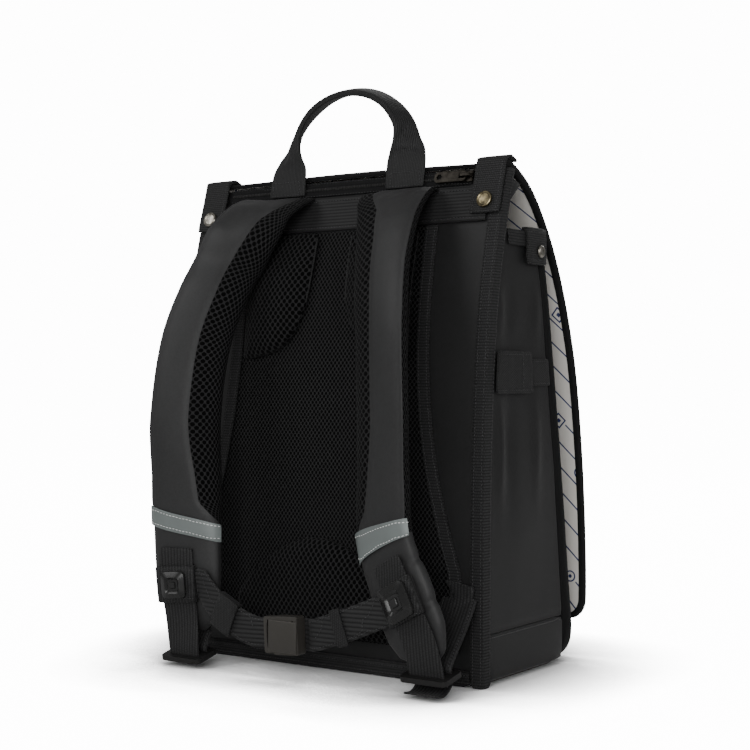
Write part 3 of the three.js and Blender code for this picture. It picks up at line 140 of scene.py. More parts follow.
class Shader:
    """A material whose nodes are added from Python."""

    def __init__(self, name: str) -> None:
        """Makes an empty Principled material."""
        self.material = bpy.data.materials.new(name)
        self.material.use_nodes = True
        self.tree = self.material.node_tree
        self.surface = self.tree.nodes["Principled BSDF"]

    def node(
        self,
        kind: str,
        settings: dict[str, object] | None = None,
        inputs: dict[int | str, object] | None = None,
        output: int | str = 0,
    ) -> Signal:
        """Adds a node as add_node does, and returns one of its outputs."""
        return Signal(self, add_node(self.tree, kind, settings, inputs).outputs[output])

    def set(self, **values: object) -> None:
        """Sets sockets of the surface shader, with _ for each space in a name."""
        for name, value in values.items():
            feed(self.tree, self.surface.inputs[name.replace("_", " ")], value)

    def mix(self, factor: Signal, first: object, second: object) -> Signal:
        """Mix of two colours."""
        return self.node("ShaderNodeMix", {"data_type": "RGBA"}, {0: factor, 6: first, 7: second}, 2)

    def tones(self, factor: Signal, colour: "Colour", dark: float, light: float) -> Signal:
        """Mix of a darker and a lighter tone of a colour."""
        return self.mix(factor, tinted(colour, dark), tinted(colour, light))

    def cloth_uv(self) -> tuple[Signal, Signal]:
        """Distance across and along the cloth, in metres, from the piece's UV map."""
        uv = self.node("ShaderNodeUVMap", {"uv_map": "cloth"})
        split = [self.node("ShaderNodeSeparateXYZ", None, {0: uv}, index) for index in (0, 1)]
        return split[0], split[1]

    def place(self) -> Signal:
        """Object coordinates."""
        return self.node("ShaderNodeTexCoord", None, None, "Object")

    def cloud(self, scale: float, detail: float = 3) -> Signal:
        """Noise from 0 to 1 with about scale blobs to the metre."""
        inputs = {"Vector": self.place(), "Scale": scale, "Detail": detail}
        return self.node("ShaderNodeTexNoise", None, inputs)

    def relief(self, height: Signal, depth: float) -> None:
        """Turns a height into a bump of the surface's normal; depth is in metres."""
        inputs = {"Height": height, "Distance": depth, "Strength": 1.0}
        self.set(Normal=self.node("ShaderNodeBump", None, inputs))


Colour = tuple[float, float, float]


def opaque(colour: Colour) -> tuple[float, float, float, float]:
    """Colour with full alpha."""
    return (*colour, 1.0)


def tinted(colour: Colour, by: float) -> tuple[float, float, float, float]:
    """Colour made darker or lighter."""
    return opaque((colour[0] * by, colour[1] * by, colour[2] * by))


def grey(shade: float, tint: float = 0.0002) -> Colour:
    """Grey with a little more or less blue."""
    return (shade, shade, shade + tint)


# Noise of the finishes, in blobs to the metre
CLOTH_BLOTCH, CLOTH_GRAIN = 14, 560
MESH_BLOTCH, MESH_YARN = 20, 1500
WEB_BLOTCH, WEB_FUZZ = 25, 700
TAPE_RUBS = 60
LINING_BLOTCH, LINING_THREAD = 18, 1200
PLASTIC_MARKS, PLASTIC_PITS = 45, 2200
METAL_PATCHES, METAL_SCRATCHES = 260, 1800
THREAD_TWIST = 2500

# Finishes


@dataclass(frozen=True)
class Finish:
    """A finish that makes one material, once."""

    name: str
    colour: Colour
    made: ClassVar[dict[str, bpy.types.Material]] = {}

    def material(self) -> bpy.types.Material:
        """The finish's material."""
        if self.name not in Finish.made:
            shader = Shader(self.name)
            self.dress(shader)
            Finish.made[self.name] = shader.material
        return Finish.made[self.name]

    def dress(self, shader: Shader) -> None:
        """Adds the finish's nodes."""
        raise NotImplementedError


@dataclass(frozen=True)
class WovenCloth(Finish):
    """Coated plain weave with a satin sheen."""

    roughness: float = 0.55
    pitch: float = 0.8 * MM
    depth: float = 0.05 * MM
    sheen: float = 0.03
    gloss: float = 0.3

    def dress(self, shader: Shader) -> None:
        """Weave, faint blotches and wear."""
        u, v = shader.cloth_uv()
        turn = 2 * math.pi / self.pitch
        threads = (u * turn).sine() * (v * turn).sine() * 0.5 + 0.5
        blotch = shader.cloud(CLOTH_BLOTCH, 4)
        grain = shader.cloud(CLOTH_GRAIN)
        shade = (threads * 0.25 + blotch * 0.35 + grain * 0.4).ramp(0.25, 0.75)
        shader.set(
            Base_Color=shader.tones(shade, self.colour, 0.78, 1.22),
            Roughness=blotch * 0.14 + (self.roughness - 0.07),
            Specular_IOR_Level=self.gloss,
            Sheen_Weight=self.sheen,
            Sheen_Roughness=0.4,
        )
        shader.relief(threads * 0.7 + grain * 0.3, self.depth)


@dataclass(frozen=True)
class SpacerMesh(Finish):
    """Padded mesh with rows of staggered holes."""

    pitch: float = 3.3 * MM
    hole: float = 0.3
    tall: float = 1.3
    squash: float = 0.86
    depth: float = 0.7 * MM

    def dress(self, shader: Shader) -> None:
        """Two staggered grids of oval holes, painted near black inside as shade."""
        u, v = shader.cloth_uv()
        across, along = u / self.pitch, v / (self.pitch * self.tall)

        def holes(shift: float) -> Signal:
            """Distance from the nearest hole's middle in one of the two grids."""
            x = (across + shift).fract() - 0.5
            y = ((along + shift).fract() - 0.5) * (self.tall * self.squash)
            return (x * x + y * y).root()

        distance = holes(0.0).least(holes(0.5))
        solid = distance.ramp(self.hole * 0.8, self.hole * 1.08)
        blotch = shader.cloud(MESH_BLOTCH)
        yarn = shader.cloud(MESH_YARN, 1)
        cloth = shader.tones(blotch * 0.6 + yarn * 0.4, self.colour, 0.75, 1.3)
        # Holes painted near black: painted shade in the depth of each hole.
        shader.set(
            Base_Color=shader.mix(solid, tinted(self.colour, 0.02), cloth),
            Roughness=0.92 - solid * 0.18,
            Specular_IOR_Level=0.06,
            Sheen_Weight=0.03,
            Sheen_Roughness=0.5,
        )
        shader.relief(solid * 0.85 + yarn * 0.15, self.depth)


class Rib(Enum):
    """Which way a webbing's ribs are counted."""

    ALONG_V = 1
    ALONG_U = 0


@dataclass(frozen=True)
class Webbing(Finish):
    """Ribbed webbing."""

    rib: Rib = Rib.ALONG_V
    pitch: float = 1.7 * MM
    depth: float = 0.35 * MM
    cells: float = 0.75
    cell: float = 1.9 * MM

    def dress(self, shader: Shader) -> None:
        """Ribs, cut into staggered cells of yarn as far as the weave shows them, with painted shade in the
        grooves.
        """
        uv = shader.cloth_uv()
        along, across = uv[self.rib.value], uv[1 - self.rib.value]
        ribs = abs((along * (math.pi / self.pitch)).sine())
        stagger = ((along / self.pitch).floor() * 0.5).fract()
        yarn = abs(((across / self.cell + stagger) * math.pi).sine())
        fuzz = shader.cloud(WEB_FUZZ, 2)
        blotch = shader.cloud(WEB_BLOTCH)
        height = ribs * (yarn * self.cells + (1 - self.cells)) * 0.85 + fuzz * 0.15
        # Colour follows the rib height: painted shade in the grooves and between the yarn cells, painted
        # highlight on the crests, and a little random blotching.
        shade = (height * 0.8 + blotch * 0.2).ramp(0.15, 0.85)
        shader.set(
            Base_Color=shader.tones(shade, self.colour, 0.3, 1.5),
            Roughness=0.82 - ribs * 0.2,
            Specular_IOR_Level=0.3,
            Sheen_Weight=0.03,
            Sheen_Roughness=0.5,
        )
        shader.relief(height, self.depth)


@dataclass(frozen=True)
class ReflectiveTape(Finish):
    """Silver grey tape with a bead texture and soft creases."""

    name: str = "reflective_tape"
    colour: Colour = (0.14, 0.158, 0.154)
    bead: float = 0.9 * MM

    def dress(self, shader: Shader) -> None:
        """Beads, faint rubbed patches."""
        u, v = shader.cloth_uv()
        turn = 2 * math.pi / self.bead
        beads = ((u + v) * turn).sine() * ((u - v) * turn).sine() * 0.5 + 0.5
        rubbed = shader.cloud(TAPE_RUBS, 4)
        shader.set(
            Base_Color=shader.tones(rubbed * 0.7 + beads * 0.3, self.colour, 0.8, 1.25),
            Roughness=rubbed * 0.2 + 0.32,
            Metallic=0.15,
        )
        shader.relief(beads * 0.5 + rubbed * 0.5, 0.06 * MM)


@dataclass(frozen=True)
class StripedLining(Finish):
    """Pale lining with slanting navy pinstripes and small plain motifs."""

    name: str = "striped_lining"
    colour: Colour = (0.78, 0.75, 0.7)
    ink: Colour = (0.014, 0.025, 0.11)
    spacing: float = 21 * MM
    line: float = 1.5 * MM
    cell: float = 43 * MM
    ring: float = 4.2 * MM
    dot: float = 1.3 * MM
    clearing: float = 6.5 * MM
    edge: float = 0.5 * MM
    yarn: float = 0.7 * MM

    def dress(self, shader: Shader) -> None:
        """Stripes that stop short of each motif."""
        u, v = shader.cloth_uv()
        phase = ((u + v) / self.spacing).fract() - 0.5
        width = self.line / self.spacing
        stripe = 1 - abs(phase).ramp(width * 0.35, width * 0.75)
        row = (v / self.cell).floor()
        x = ((u / self.cell + row * 0.37).fract() - 0.5) * self.cell
        y = ((v / self.cell).fract() - 0.5) * self.cell
        round_distance = (x * x + y * y).root()
        square_distance = abs(x + y).most(abs(x - y)) * 0.72
        odd = (row * 0.5).fract().above(0.25)
        distance = round_distance * odd + square_distance * (1 - odd)
        ring = 1 - abs(distance - self.ring).ramp(0.8 * self.edge, 1.6 * self.edge)
        dot = 1 - distance.ramp(self.dot, self.dot + self.edge)
        clear = distance.ramp(self.clearing, self.clearing + self.edge)
        ink = (stripe * clear).most(ring).most(dot)
        thread = shader.cloud(LINING_THREAD, 2)
        blotch = shader.cloud(LINING_BLOTCH)
        cloth = shader.tones(blotch * 0.7 + thread * 0.3, self.colour, 0.86, 1.1)
        shader.set(
            Base_Color=shader.mix(ink, cloth, opaque(self.ink)),
            Roughness=thread * 0.1 + 0.7,
            Sheen_Weight=0.05,
        )
        turn = 2 * math.pi / self.yarn
        weave = (u * turn).sine() * (v * turn).sine()
        shader.relief(weave * 0.5 + thread * 0.5, 0.05 * MM)


@dataclass(frozen=True)
class MouldedPlastic(Finish):
    """Matte black moulded plastic with painted highlights on its edges."""

    name: str = "moulded_plastic"
    colour: Colour = (0.0065, 0.0062, 0.006)
    roughness: float = 0.5

    def dress(self, shader: Shader) -> None:
        """Fine pitting, faint handling marks and painted edge highlights."""
        pits = shader.cloud(PLASTIC_PITS, 2)
        marks = shader.cloud(PLASTIC_MARKS, 5)
        # Convex edges painted up to twice as light: painted highlight.
        edge = shader.node("ShaderNodeNewGeometry", None, None, "Pointiness").ramp(0.52, 0.6)
        shader.set(
            Base_Color=shader.tones(edge * 0.6 + marks * 0.2, self.colour, 1.0, 2.0),
            Roughness=marks * 0.18 + (self.roughness - 0.08),
            Specular_IOR_Level=0.35,
        )
        shader.relief(pits * 0.6 + marks * 0.4, 0.05 * MM)


@dataclass(frozen=True)
class BrightMetal(Finish):
    """Polished or antiqued metal."""

    worn: Colour
    roughness: float = 0.24

    def dress(self, shader: Shader) -> None:
        """Tarnish in patches and fine scratches."""
        patches = shader.cloud(METAL_PATCHES, 4)
        scratches = shader.cloud(METAL_SCRATCHES)
        shader.set(
            Base_Color=shader.mix(patches.ramp(0.35, 0.7), opaque(self.colour), opaque(self.worn)),
            Metallic=1.0,
            Roughness=patches * 0.18 + scratches * 0.08 + (self.roughness - 0.1),
        )
        shader.relief(scratches, 0.03 * MM)


@dataclass(frozen=True)
class Thread(Finish):
    """Twisted sewing thread."""

    def dress(self, shader: Shader) -> None:
        """Twist of the plies."""
        twist = shader.cloud(THREAD_TWIST, 1)
        shader.set(
            Base_Color=shader.tones(twist, self.colour, 0.7, 1.2),
            Roughness=twist * 0.2 + 0.5,
        )
        shader.relief(twist, 0.1 * MM)


@dataclass(frozen=True)
class StudioFloor(Finish):
    """Plain pale floor."""

    name: str = "studio_floor"
    colour: Colour = (0.75, 0.75, 0.75)
    glow: float = 14.0
    shadow_reach: float = 0.11

    def dress(self, shader: Shader) -> None:
        """White to the camera, with a painted soft shadow where the bag stands close."""
        seen = shader.node("ShaderNodeLightPath", None, None, "Is Camera Ray")
        inputs = {"Distance": self.shadow_reach}
        # Ambient occlusion darkens the glow near the bag: a painted contact shadow, not one cast by the
        # lamps.
        painted_shadow_ao = shader.node("ShaderNodeAmbientOcclusion", {"samples": 8}, inputs, "AO")
        shader.set(
            Base_Color=opaque(self.colour),
            Roughness=0.9,
            Specular_IOR_Level=0.0,
            Emission_Color=shader.mix(seen * painted_shadow_ao**7, (0, 0, 0, 1), (1, 1, 1, 1)),
            Emission_Strength=self.glow,
        )


BODY_CLOTH = WovenCloth("body_cloth", grey(0.0085), 0.5)
STRAP_CLOTH = WovenCloth("strap_cloth", grey(0.0175, 0.0003), 0.48)
BINDING_CLOTH = WovenCloth("binding_cloth", grey(0.006, 0.0003), 0.75, 1.1 * MM, 0.12 * MM, 0.02, 0.12)
COVER_CLOTH = WovenCloth("cover_cloth", grey(0.0125, 0.0004), 0.42, gloss=0.5)
BACK_MESH = SpacerMesh("back_mesh", grey(0.019, 0.0003), 3.7 * MM, 0.335)
PAD_MESH = SpacerMesh("pad_mesh", grey(0.0165, 0.0003), 4.8 * MM, 0.34)
FLAT_WEBBING = Webbing("flat_webbing", grey(0.0115))
CROSS_WEBBING = Webbing("cross_webbing", grey(0.0095), Rib.ALONG_U)
RIBBED_WEBBING = Webbing("ribbed_webbing", grey(0.0105), Rib.ALONG_V, 3.3 * MM, 0.4 * MM, 0.12)
YOKE_WEBBING = Webbing("yoke_webbing", grey(0.008), Rib.ALONG_V, 2.6 * MM, 0.12 * MM, 0.3)
HANDLE_WEBBING = Webbing("handle_webbing_weave", grey(0.0095), Rib.ALONG_U, 1.5 * MM, 0.2 * MM, 0.4)
STRAP_WEBBING = Webbing("strap_webbing_weave", grey(0.0105), Rib.ALONG_U, 2.7 * MM, 0.35 * MM, 0.5)
EDGE_TAPE = Webbing("edge_tape", grey(0.0105, 0.0003), Rib.ALONG_V, 2.2 * MM, 0.3 * MM)
REFLECTIVE = ReflectiveTape()
LINING = StripedLining()
PLASTIC = MouldedPlastic()
STUD_PLASTIC = MouldedPlastic("stud_plastic", (0.009, 0.009, 0.0088), 0.26)
BUCKLE_PLASTIC = MouldedPlastic("buckle_plastic", (0.03, 0.0275, 0.024), 0.55)
NICKEL = BrightMetal("bright_nickel", (0.36, 0.34, 0.3), (0.14, 0.13, 0.11), 0.3)
OLD_BRASS = BrightMetal("old_brass", (0.24, 0.2, 0.12), (0.06, 0.05, 0.03), 0.36)
GUNMETAL = BrightMetal("gunmetal", (0.03, 0.027, 0.023), (0.02, 0.0175, 0.015), 0.4)
DARK_THREAD = Thread("dark_thread", grey(0.032, 0.001))
WHITE_THREAD = Thread("white_thread", (0.85, 0.86, 0.84))
# Near-black rows that stand for the shadow in the groove round each pad: painted shadow.
PAD_GROOVE_SHADOW = Thread("painted_groove_shadow", grey(0.0015, 0))
SEAM_THREAD = Thread("seam_thread", grey(0.13, -0.002))


# Meshes

MERGE = 0.002 * MM
SIDE_BIAS, TOP_BIAS = 1.02, 2.5
FLAT_ANGLE, SHAPE_ANGLE = math.radians(12), math.radians(50)


def new_object(name: str, mesh: bpy.types.Mesh) -> Thing:
    """Object at the origin, linked to the scene."""
    made = bpy.data.objects.new(name, mesh)
    bpy.context.scene.collection.objects.link(made)
    return made


def modify(thing: Thing, kind: str, **settings: object) -> None:
    """Adds a modifier of the kind and makes its settings."""
    modifier = thing.modifiers.new(kind.lower(), kind)
    for key, value in settings.items():
        setattr(modifier, key, value)


def baked(thing: Thing) -> Thing:
    """Turns an object's modifiers into plain mesh, and returns the object."""
    graph = bpy.context.evaluated_depsgraph_get()
    mesh = bpy.data.meshes.new_from_object(thing.evaluated_get(graph))
    thing.modifiers.clear()
    old = thing.data
    thing.data = mesh
    mesh.name = thing.name
    bpy.data.meshes.remove(old)
    return thing


def lay_cloth_uv(mesh: bpy.types.Mesh) -> None:
    """Adds a UV map in metres, laid on each face along its main direction."""
    layer = mesh.uv_layers.get("cloth") or mesh.uv_layers.new(name="cloth")
    for polygon in mesh.polygons:
        normal = [abs(value) for value in polygon.normal]
        if normal[0] > max(normal[1], normal[2]) * SIDE_BIAS:
            picked = (1, 2)
        elif normal[2] > normal[1] * TOP_BIAS:
            picked = (0, 1)
        else:
            picked = (0, 2)
        for loop in polygon.loop_indices:
            point = mesh.vertices[mesh.loops[loop].vertex_index].co
            layer.data[loop].uv = (point[picked[0]], point[picked[1]])


def reworked(
    node: str,
    name: str,
    levels: int = 2,
    crease: float = 0.85,
    sharp: float = 35,
    moved: Displacement | None = None,
    bevel: float = 0.0,
) -> Thing:
    """Copies a CAD node into a smooth cloth or moulded piece.

    Args:
        node: CAD node that is copied.
        name: new object's name.
        levels: subdivision levels.
        crease: how tightly the sharp edges are kept.
        sharp: angle in degrees from which an edge counts as sharp.
        moved: displacement of each vertex from its place and normal.
        bevel: width in metres of a bevel on the sharp edges.

    Returns:
        The new object, with a cloth UV map.
    """
    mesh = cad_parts[node].data.copy()
    mesh.materials.clear()
    work = bmesh.new()
    work.from_mesh(mesh)
    bmesh.ops.remove_doubles(work, verts=work.verts, dist=MERGE)
    bmesh.ops.dissolve_degenerate(work, edges=work.edges, dist=MERGE)
    angles = {"angle_face_threshold": FLAT_ANGLE, "angle_shape_threshold": SHAPE_ANGLE}
    bmesh.ops.join_triangles(work, faces=work.faces, **angles)
    layer = work.edges.layers.float.get("crease_edge") or work.edges.layers.float.new("crease_edge")
    for edge in work.edges:
        if len(edge.link_faces) == 2 and edge.calc_face_angle(0) > math.radians(sharp):
            edge[layer] = crease
    work.to_mesh(mesh)
    work.free()
    made = new_object(name, mesh)
    if bevel:
        modify(made, "BEVEL", width=bevel, segments=3, limit_method="ANGLE", angle_limit=math.radians(sharp))
    if levels:
        modify(made, "SUBSURF", levels=levels, render_levels=levels)
    return finished(baked(made), moved, sharp)


def finished(made: Thing, moved: Displacement | None, sharp: float) -> Thing:
    """Displaces, smooths and gives the cloth UV map to a plain mesh object."""
    if moved:
        mesh = made.data
        places = [(vertex.co.copy(), vertex.normal.copy()) for vertex in mesh.vertices]
        for vertex, (place, normal) in zip(mesh.vertices, places):
            vertex.co = moved(place, normal)
        mesh.update()
    made.data.shade_smooth()
    if not made.data.uv_layers.get("cloth"):
        lay_cloth_uv(made.data)
    made.data.set_sharp_from_angle(angle=math.radians(sharp))
    return made


def grid_mesh(
    name: str,
    rows: int,
    columns: int,
    point: Placed,
    uv: Callable[[int, int], tuple[float, float]] = lambda row, column: (column * MM, row * MM),
) -> Thing:
    """Mesh of quads over rings of points, capped at both ends.

    Args:
        name: object's name.
        rows: number of rings.
        columns: number of points in a ring.
        point: place of the point in a row and column.
        uv: its distance across and along the cloth; column may equal columns, at the seam.

    Returns:
        The object, not smoothed yet.
    """
    vertices = [tuple(point(row, column)) for row in range(rows) for column in range(columns)]
    faces, corners = [], []
    for row in range(rows - 1):
        for column in range(columns):
            low, high, after = row * columns, (row + 1) * columns, (column + 1) % columns
            faces.append((low + column, low + after, high + after, high + column))
            corners += [uv(row, column), uv(row, column + 1), uv(row + 1, column + 1), uv(row + 1, column)]
    for row, order in ((0, range(columns - 1, -1, -1)), (rows - 1, range(columns))):
        faces.append(tuple(row * columns + column for column in order))
        corners += [uv(row, column) for column in order]
    mesh = bpy.data.meshes.new(name)
    mesh.from_pydata(vertices, [], faces)
    layer = mesh.uv_layers.new(name="cloth")
    for loop, corner in enumerate(corners):
        layer.data[loop].uv = corner
    return new_object(name, mesh)


def outward(thing: Thing) -> Thing:
    """Turns an object's faces so that they all look out."""
    work = bmesh.new()
    work.from_mesh(thing.data)
    bmesh.ops.recalc_face_normals(work, faces=work.faces)
    work.to_mesh(thing.data)
    work.free()
    return thing


def cap(
    name: str, rings: int, steps: int, point: Placed, finish: "Finish", sharp: float
) -> Thing:
    """Closed shell over rings of points, smoothed below the angle sharp and in one finish."""
    return wear(finished(outward(grid_mesh(name, rings, steps, point)), None, sharp), finish)


def ripple(place: Vector, scale: float, seed: float) -> float:
    """Smooth noise from about -1 to 1 with blobs of the scale given in metres."""
    return noise.noise(place / scale + Vector((seed, seed * 1.7, seed * 2.3)))


def bump(value: float, centre: float, width: float) -> float:
    """Bell from 0 to 1 round a centre."""
    return math.exp(-(((value - centre) / width) ** 2))


def bells(value: float, rows: Triples) -> float:
    """Sum of bells, each given by its centre, width and height."""
    return sum(bump(value, centre, width) * height for centre, width, height in rows)


def share(low: float, high: float, at: float) -> float:
    """Value between two."""
    return low + (high - low) * at


def looked_up(rows: Pairs, at: float) -> float:
    """Value from a table of rising positions, straight between its rows."""
    for (before, first), (after, second) in zip(rows, rows[1:]):
        if at <= after:
            return share(first, second, min(max((at - before) / (after - before), 0), 1))
    return rows[-1][1]


@dataclass
class Piece:
    """A finished object and what it stands for."""

    thing: Thing
    replaced: Sequence[str] = ()
    slot: str = "fabric"
    body: str = BAG
    padded: float | None = None

    def hand_in(self) -> None:
        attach(self.thing, self.body)
        if self.replaced:
            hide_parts(*self.replaced)
        log.info("%s: %d faces", self.thing.name, len(self.thing.data.polygons))


class Assembly:
    """Base of the sub-assemblies: builds pieces and hands them in."""

    def pieces(self) -> Iterable[Piece]:
        """The sub-assembly's finished pieces."""
        raise NotImplementedError

    def build(self) -> None:
        """Builds every piece."""
        for piece in self.pieces():
            piece.hand_in()


def wear(thing: Thing, *finishes: Finish) -> Thing:
    """Puts finishes in an object's material slots."""
    thing.data.materials.clear()
    for finish in finishes:
        thing.data.materials.append(finish.material())
    return thing


def dressed(
    node: str,
    name: str,
    finish: Finish,
    slot: str = "fabric",
    levels: int = 2,
    crease: float = 0.75,
    padded: float | None = None,
    body: str = BAG,
    **shape: object,
) -> Piece:
    """Makes the piece that stands for one CAD node.

    Args:
        node: CAD node.
        name: new object's name.
        finish: the piece's finish.
        slot: slot name kept on the piece; not used.
        levels: subdivision levels.
        crease: how tightly the sharp edges are kept.
        padded: fill, where the piece is padded; kept on the piece, not used.
        body: body that it rides on.
        shape: further arguments of reworked.

    Returns:
        The finished piece.
    """
    return Piece(wear(reworked(node, name, levels, crease, **shape), finish), [node], slot, body, padded)


# Sewing

STITCH_STEP = 2 * MM
STITCH_LIFT = 0.12 * MM
TOOTH_LIFT = 0.15 * MM
CAST_FROM = 0.5


class RowTree:
    """Geometry Nodes that repeat a small form along the edges of a mesh."""

    def __init__(self, name: str, rounded: bool) -> None:
        """Builds the tree.

        Args:
            name: node group's name.
            rounded: whether the form is a spindle rather than a block.
        """
        tree = self.tree = bpy.data.node_groups.new(name, "GeometryNodeTree")
        kinds = {"Paths": "Geometry", "Finish": "Material"}
        for label in ("Paths", "Spacing", "Length", "Width", "Height", "Finish"):
            kind = kinds.get(label, "Float")
            tree.interface.new_socket(label, in_out="INPUT", socket_type=f"NodeSocket{kind}")
        tree.interface.new_socket("Row", in_out="OUTPUT", socket_type="NodeSocketGeometry")

        def add(kind: str, **inputs: object) -> bpy.types.NodeSocket:
            """Adds a node with its inputs linked or set by name, and returns its first output."""
            return add_node(tree, kind, None, inputs).outputs[0]

        given = tree.nodes.new("NodeGroupInput").outputs
        curve = add("GeometryNodeMeshToCurve", Mesh=given["Paths"])
        ends = {"Curve": curve, "Length": given["Spacing"]}
        spaced = add_node(tree, "GeometryNodeResampleCurve", {"mode": "LENGTH"}, ends).outputs[0]
        size = add("ShaderNodeCombineXYZ", X=given["Width"], Y=given["Height"], Z=given["Length"])
        if rounded:
            form = add("GeometryNodeMeshIcoSphere", Radius=0.5, Subdivisions=1)
        else:
            form = add("GeometryNodeMeshCube")
        tangent = {"Vector": add("GeometryNodeInputTangent")}
        turn = add_node(tree, "FunctionNodeAlignEulerToVector", {"axis": "Z"}, tangent).outputs[0]
        rows = add("GeometryNodeInstanceOnPoints", Points=spaced, Instance=form, Rotation=turn, Scale=size)
        real = add("GeometryNodeRealizeInstances", Geometry=rows)
        coated = add("GeometryNodeSetMaterial", Geometry=real, Material=given["Finish"])
        add_node(tree, "NodeGroupOutput", None, {"Row": coated})

    def run(
        self,
        name: str,
        paths: Sequence[Sequence[Vector]],
        finish: Finish,
        spacing: float,
        size: Sequence[float],
    ) -> Thing:
        """Repeats the form along paths.

        Args:
            name: new object's name.
            paths: lists of points.
            finish: the rows' finish.
            spacing: distance between forms in metres.
            size: length, width and height of one form in metres.

        Returns:
            A plain mesh object.
        """
        points, edges = [], []
        for path in paths:
            start = len(points)
            points += [tuple(point) for point in path]
            edges += [(start + index, start + index + 1) for index in range(len(path) - 1)]
        mesh = bpy.data.meshes.new(name)
        mesh.from_pydata(points, edges, [])
        made = new_object(name, mesh)
        modifier = made.modifiers.new("row", "NODES")
        modifier.node_group = self.tree
        items = self.tree.interface.items_tree
        sockets = {item.name: item.identifier for item in items if item.in_out == "INPUT"}
        values = dict(zip(("Length", "Width", "Height"), size))
        values.update(Spacing=spacing, Finish=finish.material())
        for label, value in values.items():
            modifier[sockets[label]] = value
        baked(made)
        made.data.shade_smooth()
        lay_cloth_uv(made.data)
        return made


STITCH_ROW = RowTree("stitch_row", True)
BLOCK_ROW = RowTree("block_row", False)


class Surface:
    """Finished piece that seams are laid on."""

    def __init__(self, thing: Thing) -> None:
        """Reads the piece's faces."""
        points = [vertex.co.copy() for vertex in thing.data.vertices]
        self.tree = BVHTree.FromPolygons(points, [tuple(face.vertices) for face in thing.data.polygons])

    def laid(self, path: Sequence[Vector], direction: Vector, lift: float) -> list[list[Vector]]:
        """Drops a path onto the faces.

        Args:
            path: corners of the path, off the surface.
            direction: way in which it drops.
            lift: distance kept from the faces.

        Returns:
            The stretches of the path that meet the faces.
        """
        stretches: list[list[Vector]] = [[]]
        for start, end in zip(path, path[1:]):
            count = max(int((end - start).length / STITCH_STEP), 1)
            for index in range(count + 1):
                origin = start.lerp(end, index / count)
                place, normal, _, _ = self.tree.ray_cast(origin, direction)
                if place is None:
                    stretches.append([])
                    continue
                facing = normal if normal.dot(direction) < 0 else -normal
                point = place + facing * lift
                hop = (point - stretches[-1][-1]).length / STITCH_STEP if stretches[-1] else 1
                if hop > 4:
                    stretches.append([])
                if hop > 0.2:
                    stretches[-1].append(point)
        return [stretch for stretch in stretches if len(stretch) > 1]


# Body of the bag


@dataclass
class Body(Assembly):
    """Shell: back, sides, base, front with its padded roll, and their tapes."""

    pleat_depth: float = 2.6 * MM
    # Rows of centre, width and height, in millimetres and shares of the depth
    pleat_levels: Triples = ((175, 34, 1), (278, 18, 0.7))
    pleats: Triples = ((-50, 6, 1), (5, 7, 0.8), (-37, 8, -0.6))
    pucker_level: tuple[float, float] = (40, 2.5)
    # pucker and wave: blob size and seed of the noise
    pucker: tuple[float, float] = (60 * MM, 3)
    pucker_depth: float = 0.8 * MM
    wave: tuple[float, float] = (90 * MM, 8)
    wave_depth: float = 0.5 * MM

    def pleated(self, place: Vector, normal: Vector) -> Vector:
        """Soft upright pleats under and over the pocket band of a side."""
        level = place.z / MM
        depth = bells(place.y / MM, self.pleats) * bells(level, self.pleat_levels) * self.pleat_depth
        depth -= abs(ripple(place, *self.pucker)) * self.pucker_depth
        depth -= bump(level, *self.pucker_level) * self.pucker_depth
        return place + Vector((math.copysign(1, place.x), 0, 0)) * depth

    def waved(self, place: Vector, normal: Vector) -> Vector:
        """Long faint waves of stiffened cloth."""
        return place - normal * abs(ripple(place, *self.wave)) * self.wave_depth

    def pieces(self) -> Iterable[Piece]:
        """Panels, roll and bindings."""
        for side, _ in SIDES:
            panel, name = f"side_{side}", f"side_cloth_{side}"
            yield dressed(panel, name, BODY_CLOTH, "fabric", 3, 0.7, moved=self.pleated)
            for node, finish, slot, crease in (
                ("back_tape", EDGE_TAPE, "webbing", 0.75),
                ("gusset_binding", EDGE_TAPE, "dark_fabric", 0.75),
                ("corner_gusset", BODY_CLOTH, "dark_fabric", 0.8),
            ):
                yield dressed(f"{node}_{side}", f"{node}_cloth_{side}", finish, slot, 2, crease)
        yield dressed("back_panel", "back_cloth", BODY_CLOTH, "fabric", 2, 0.8, moved=self.waved)
        yield dressed("base_panel", "base_cloth", BODY_CLOTH, "fabric", 3, 0.85)
        yield dressed("front_panel", "front_cloth", BODY_CLOTH, "fabric", 2, 0.8, moved=self.waved)
        looks = {"levels": 2, "crease": 0.2, "padded": 0.6, "moved": self.waved}
        yield dressed("front_roll", "front_roll_cloth", BINDING_CLOTH, **looks)
        yield dressed("base_tape", "base_tape_cloth", EDGE_TAPE, "webbing")


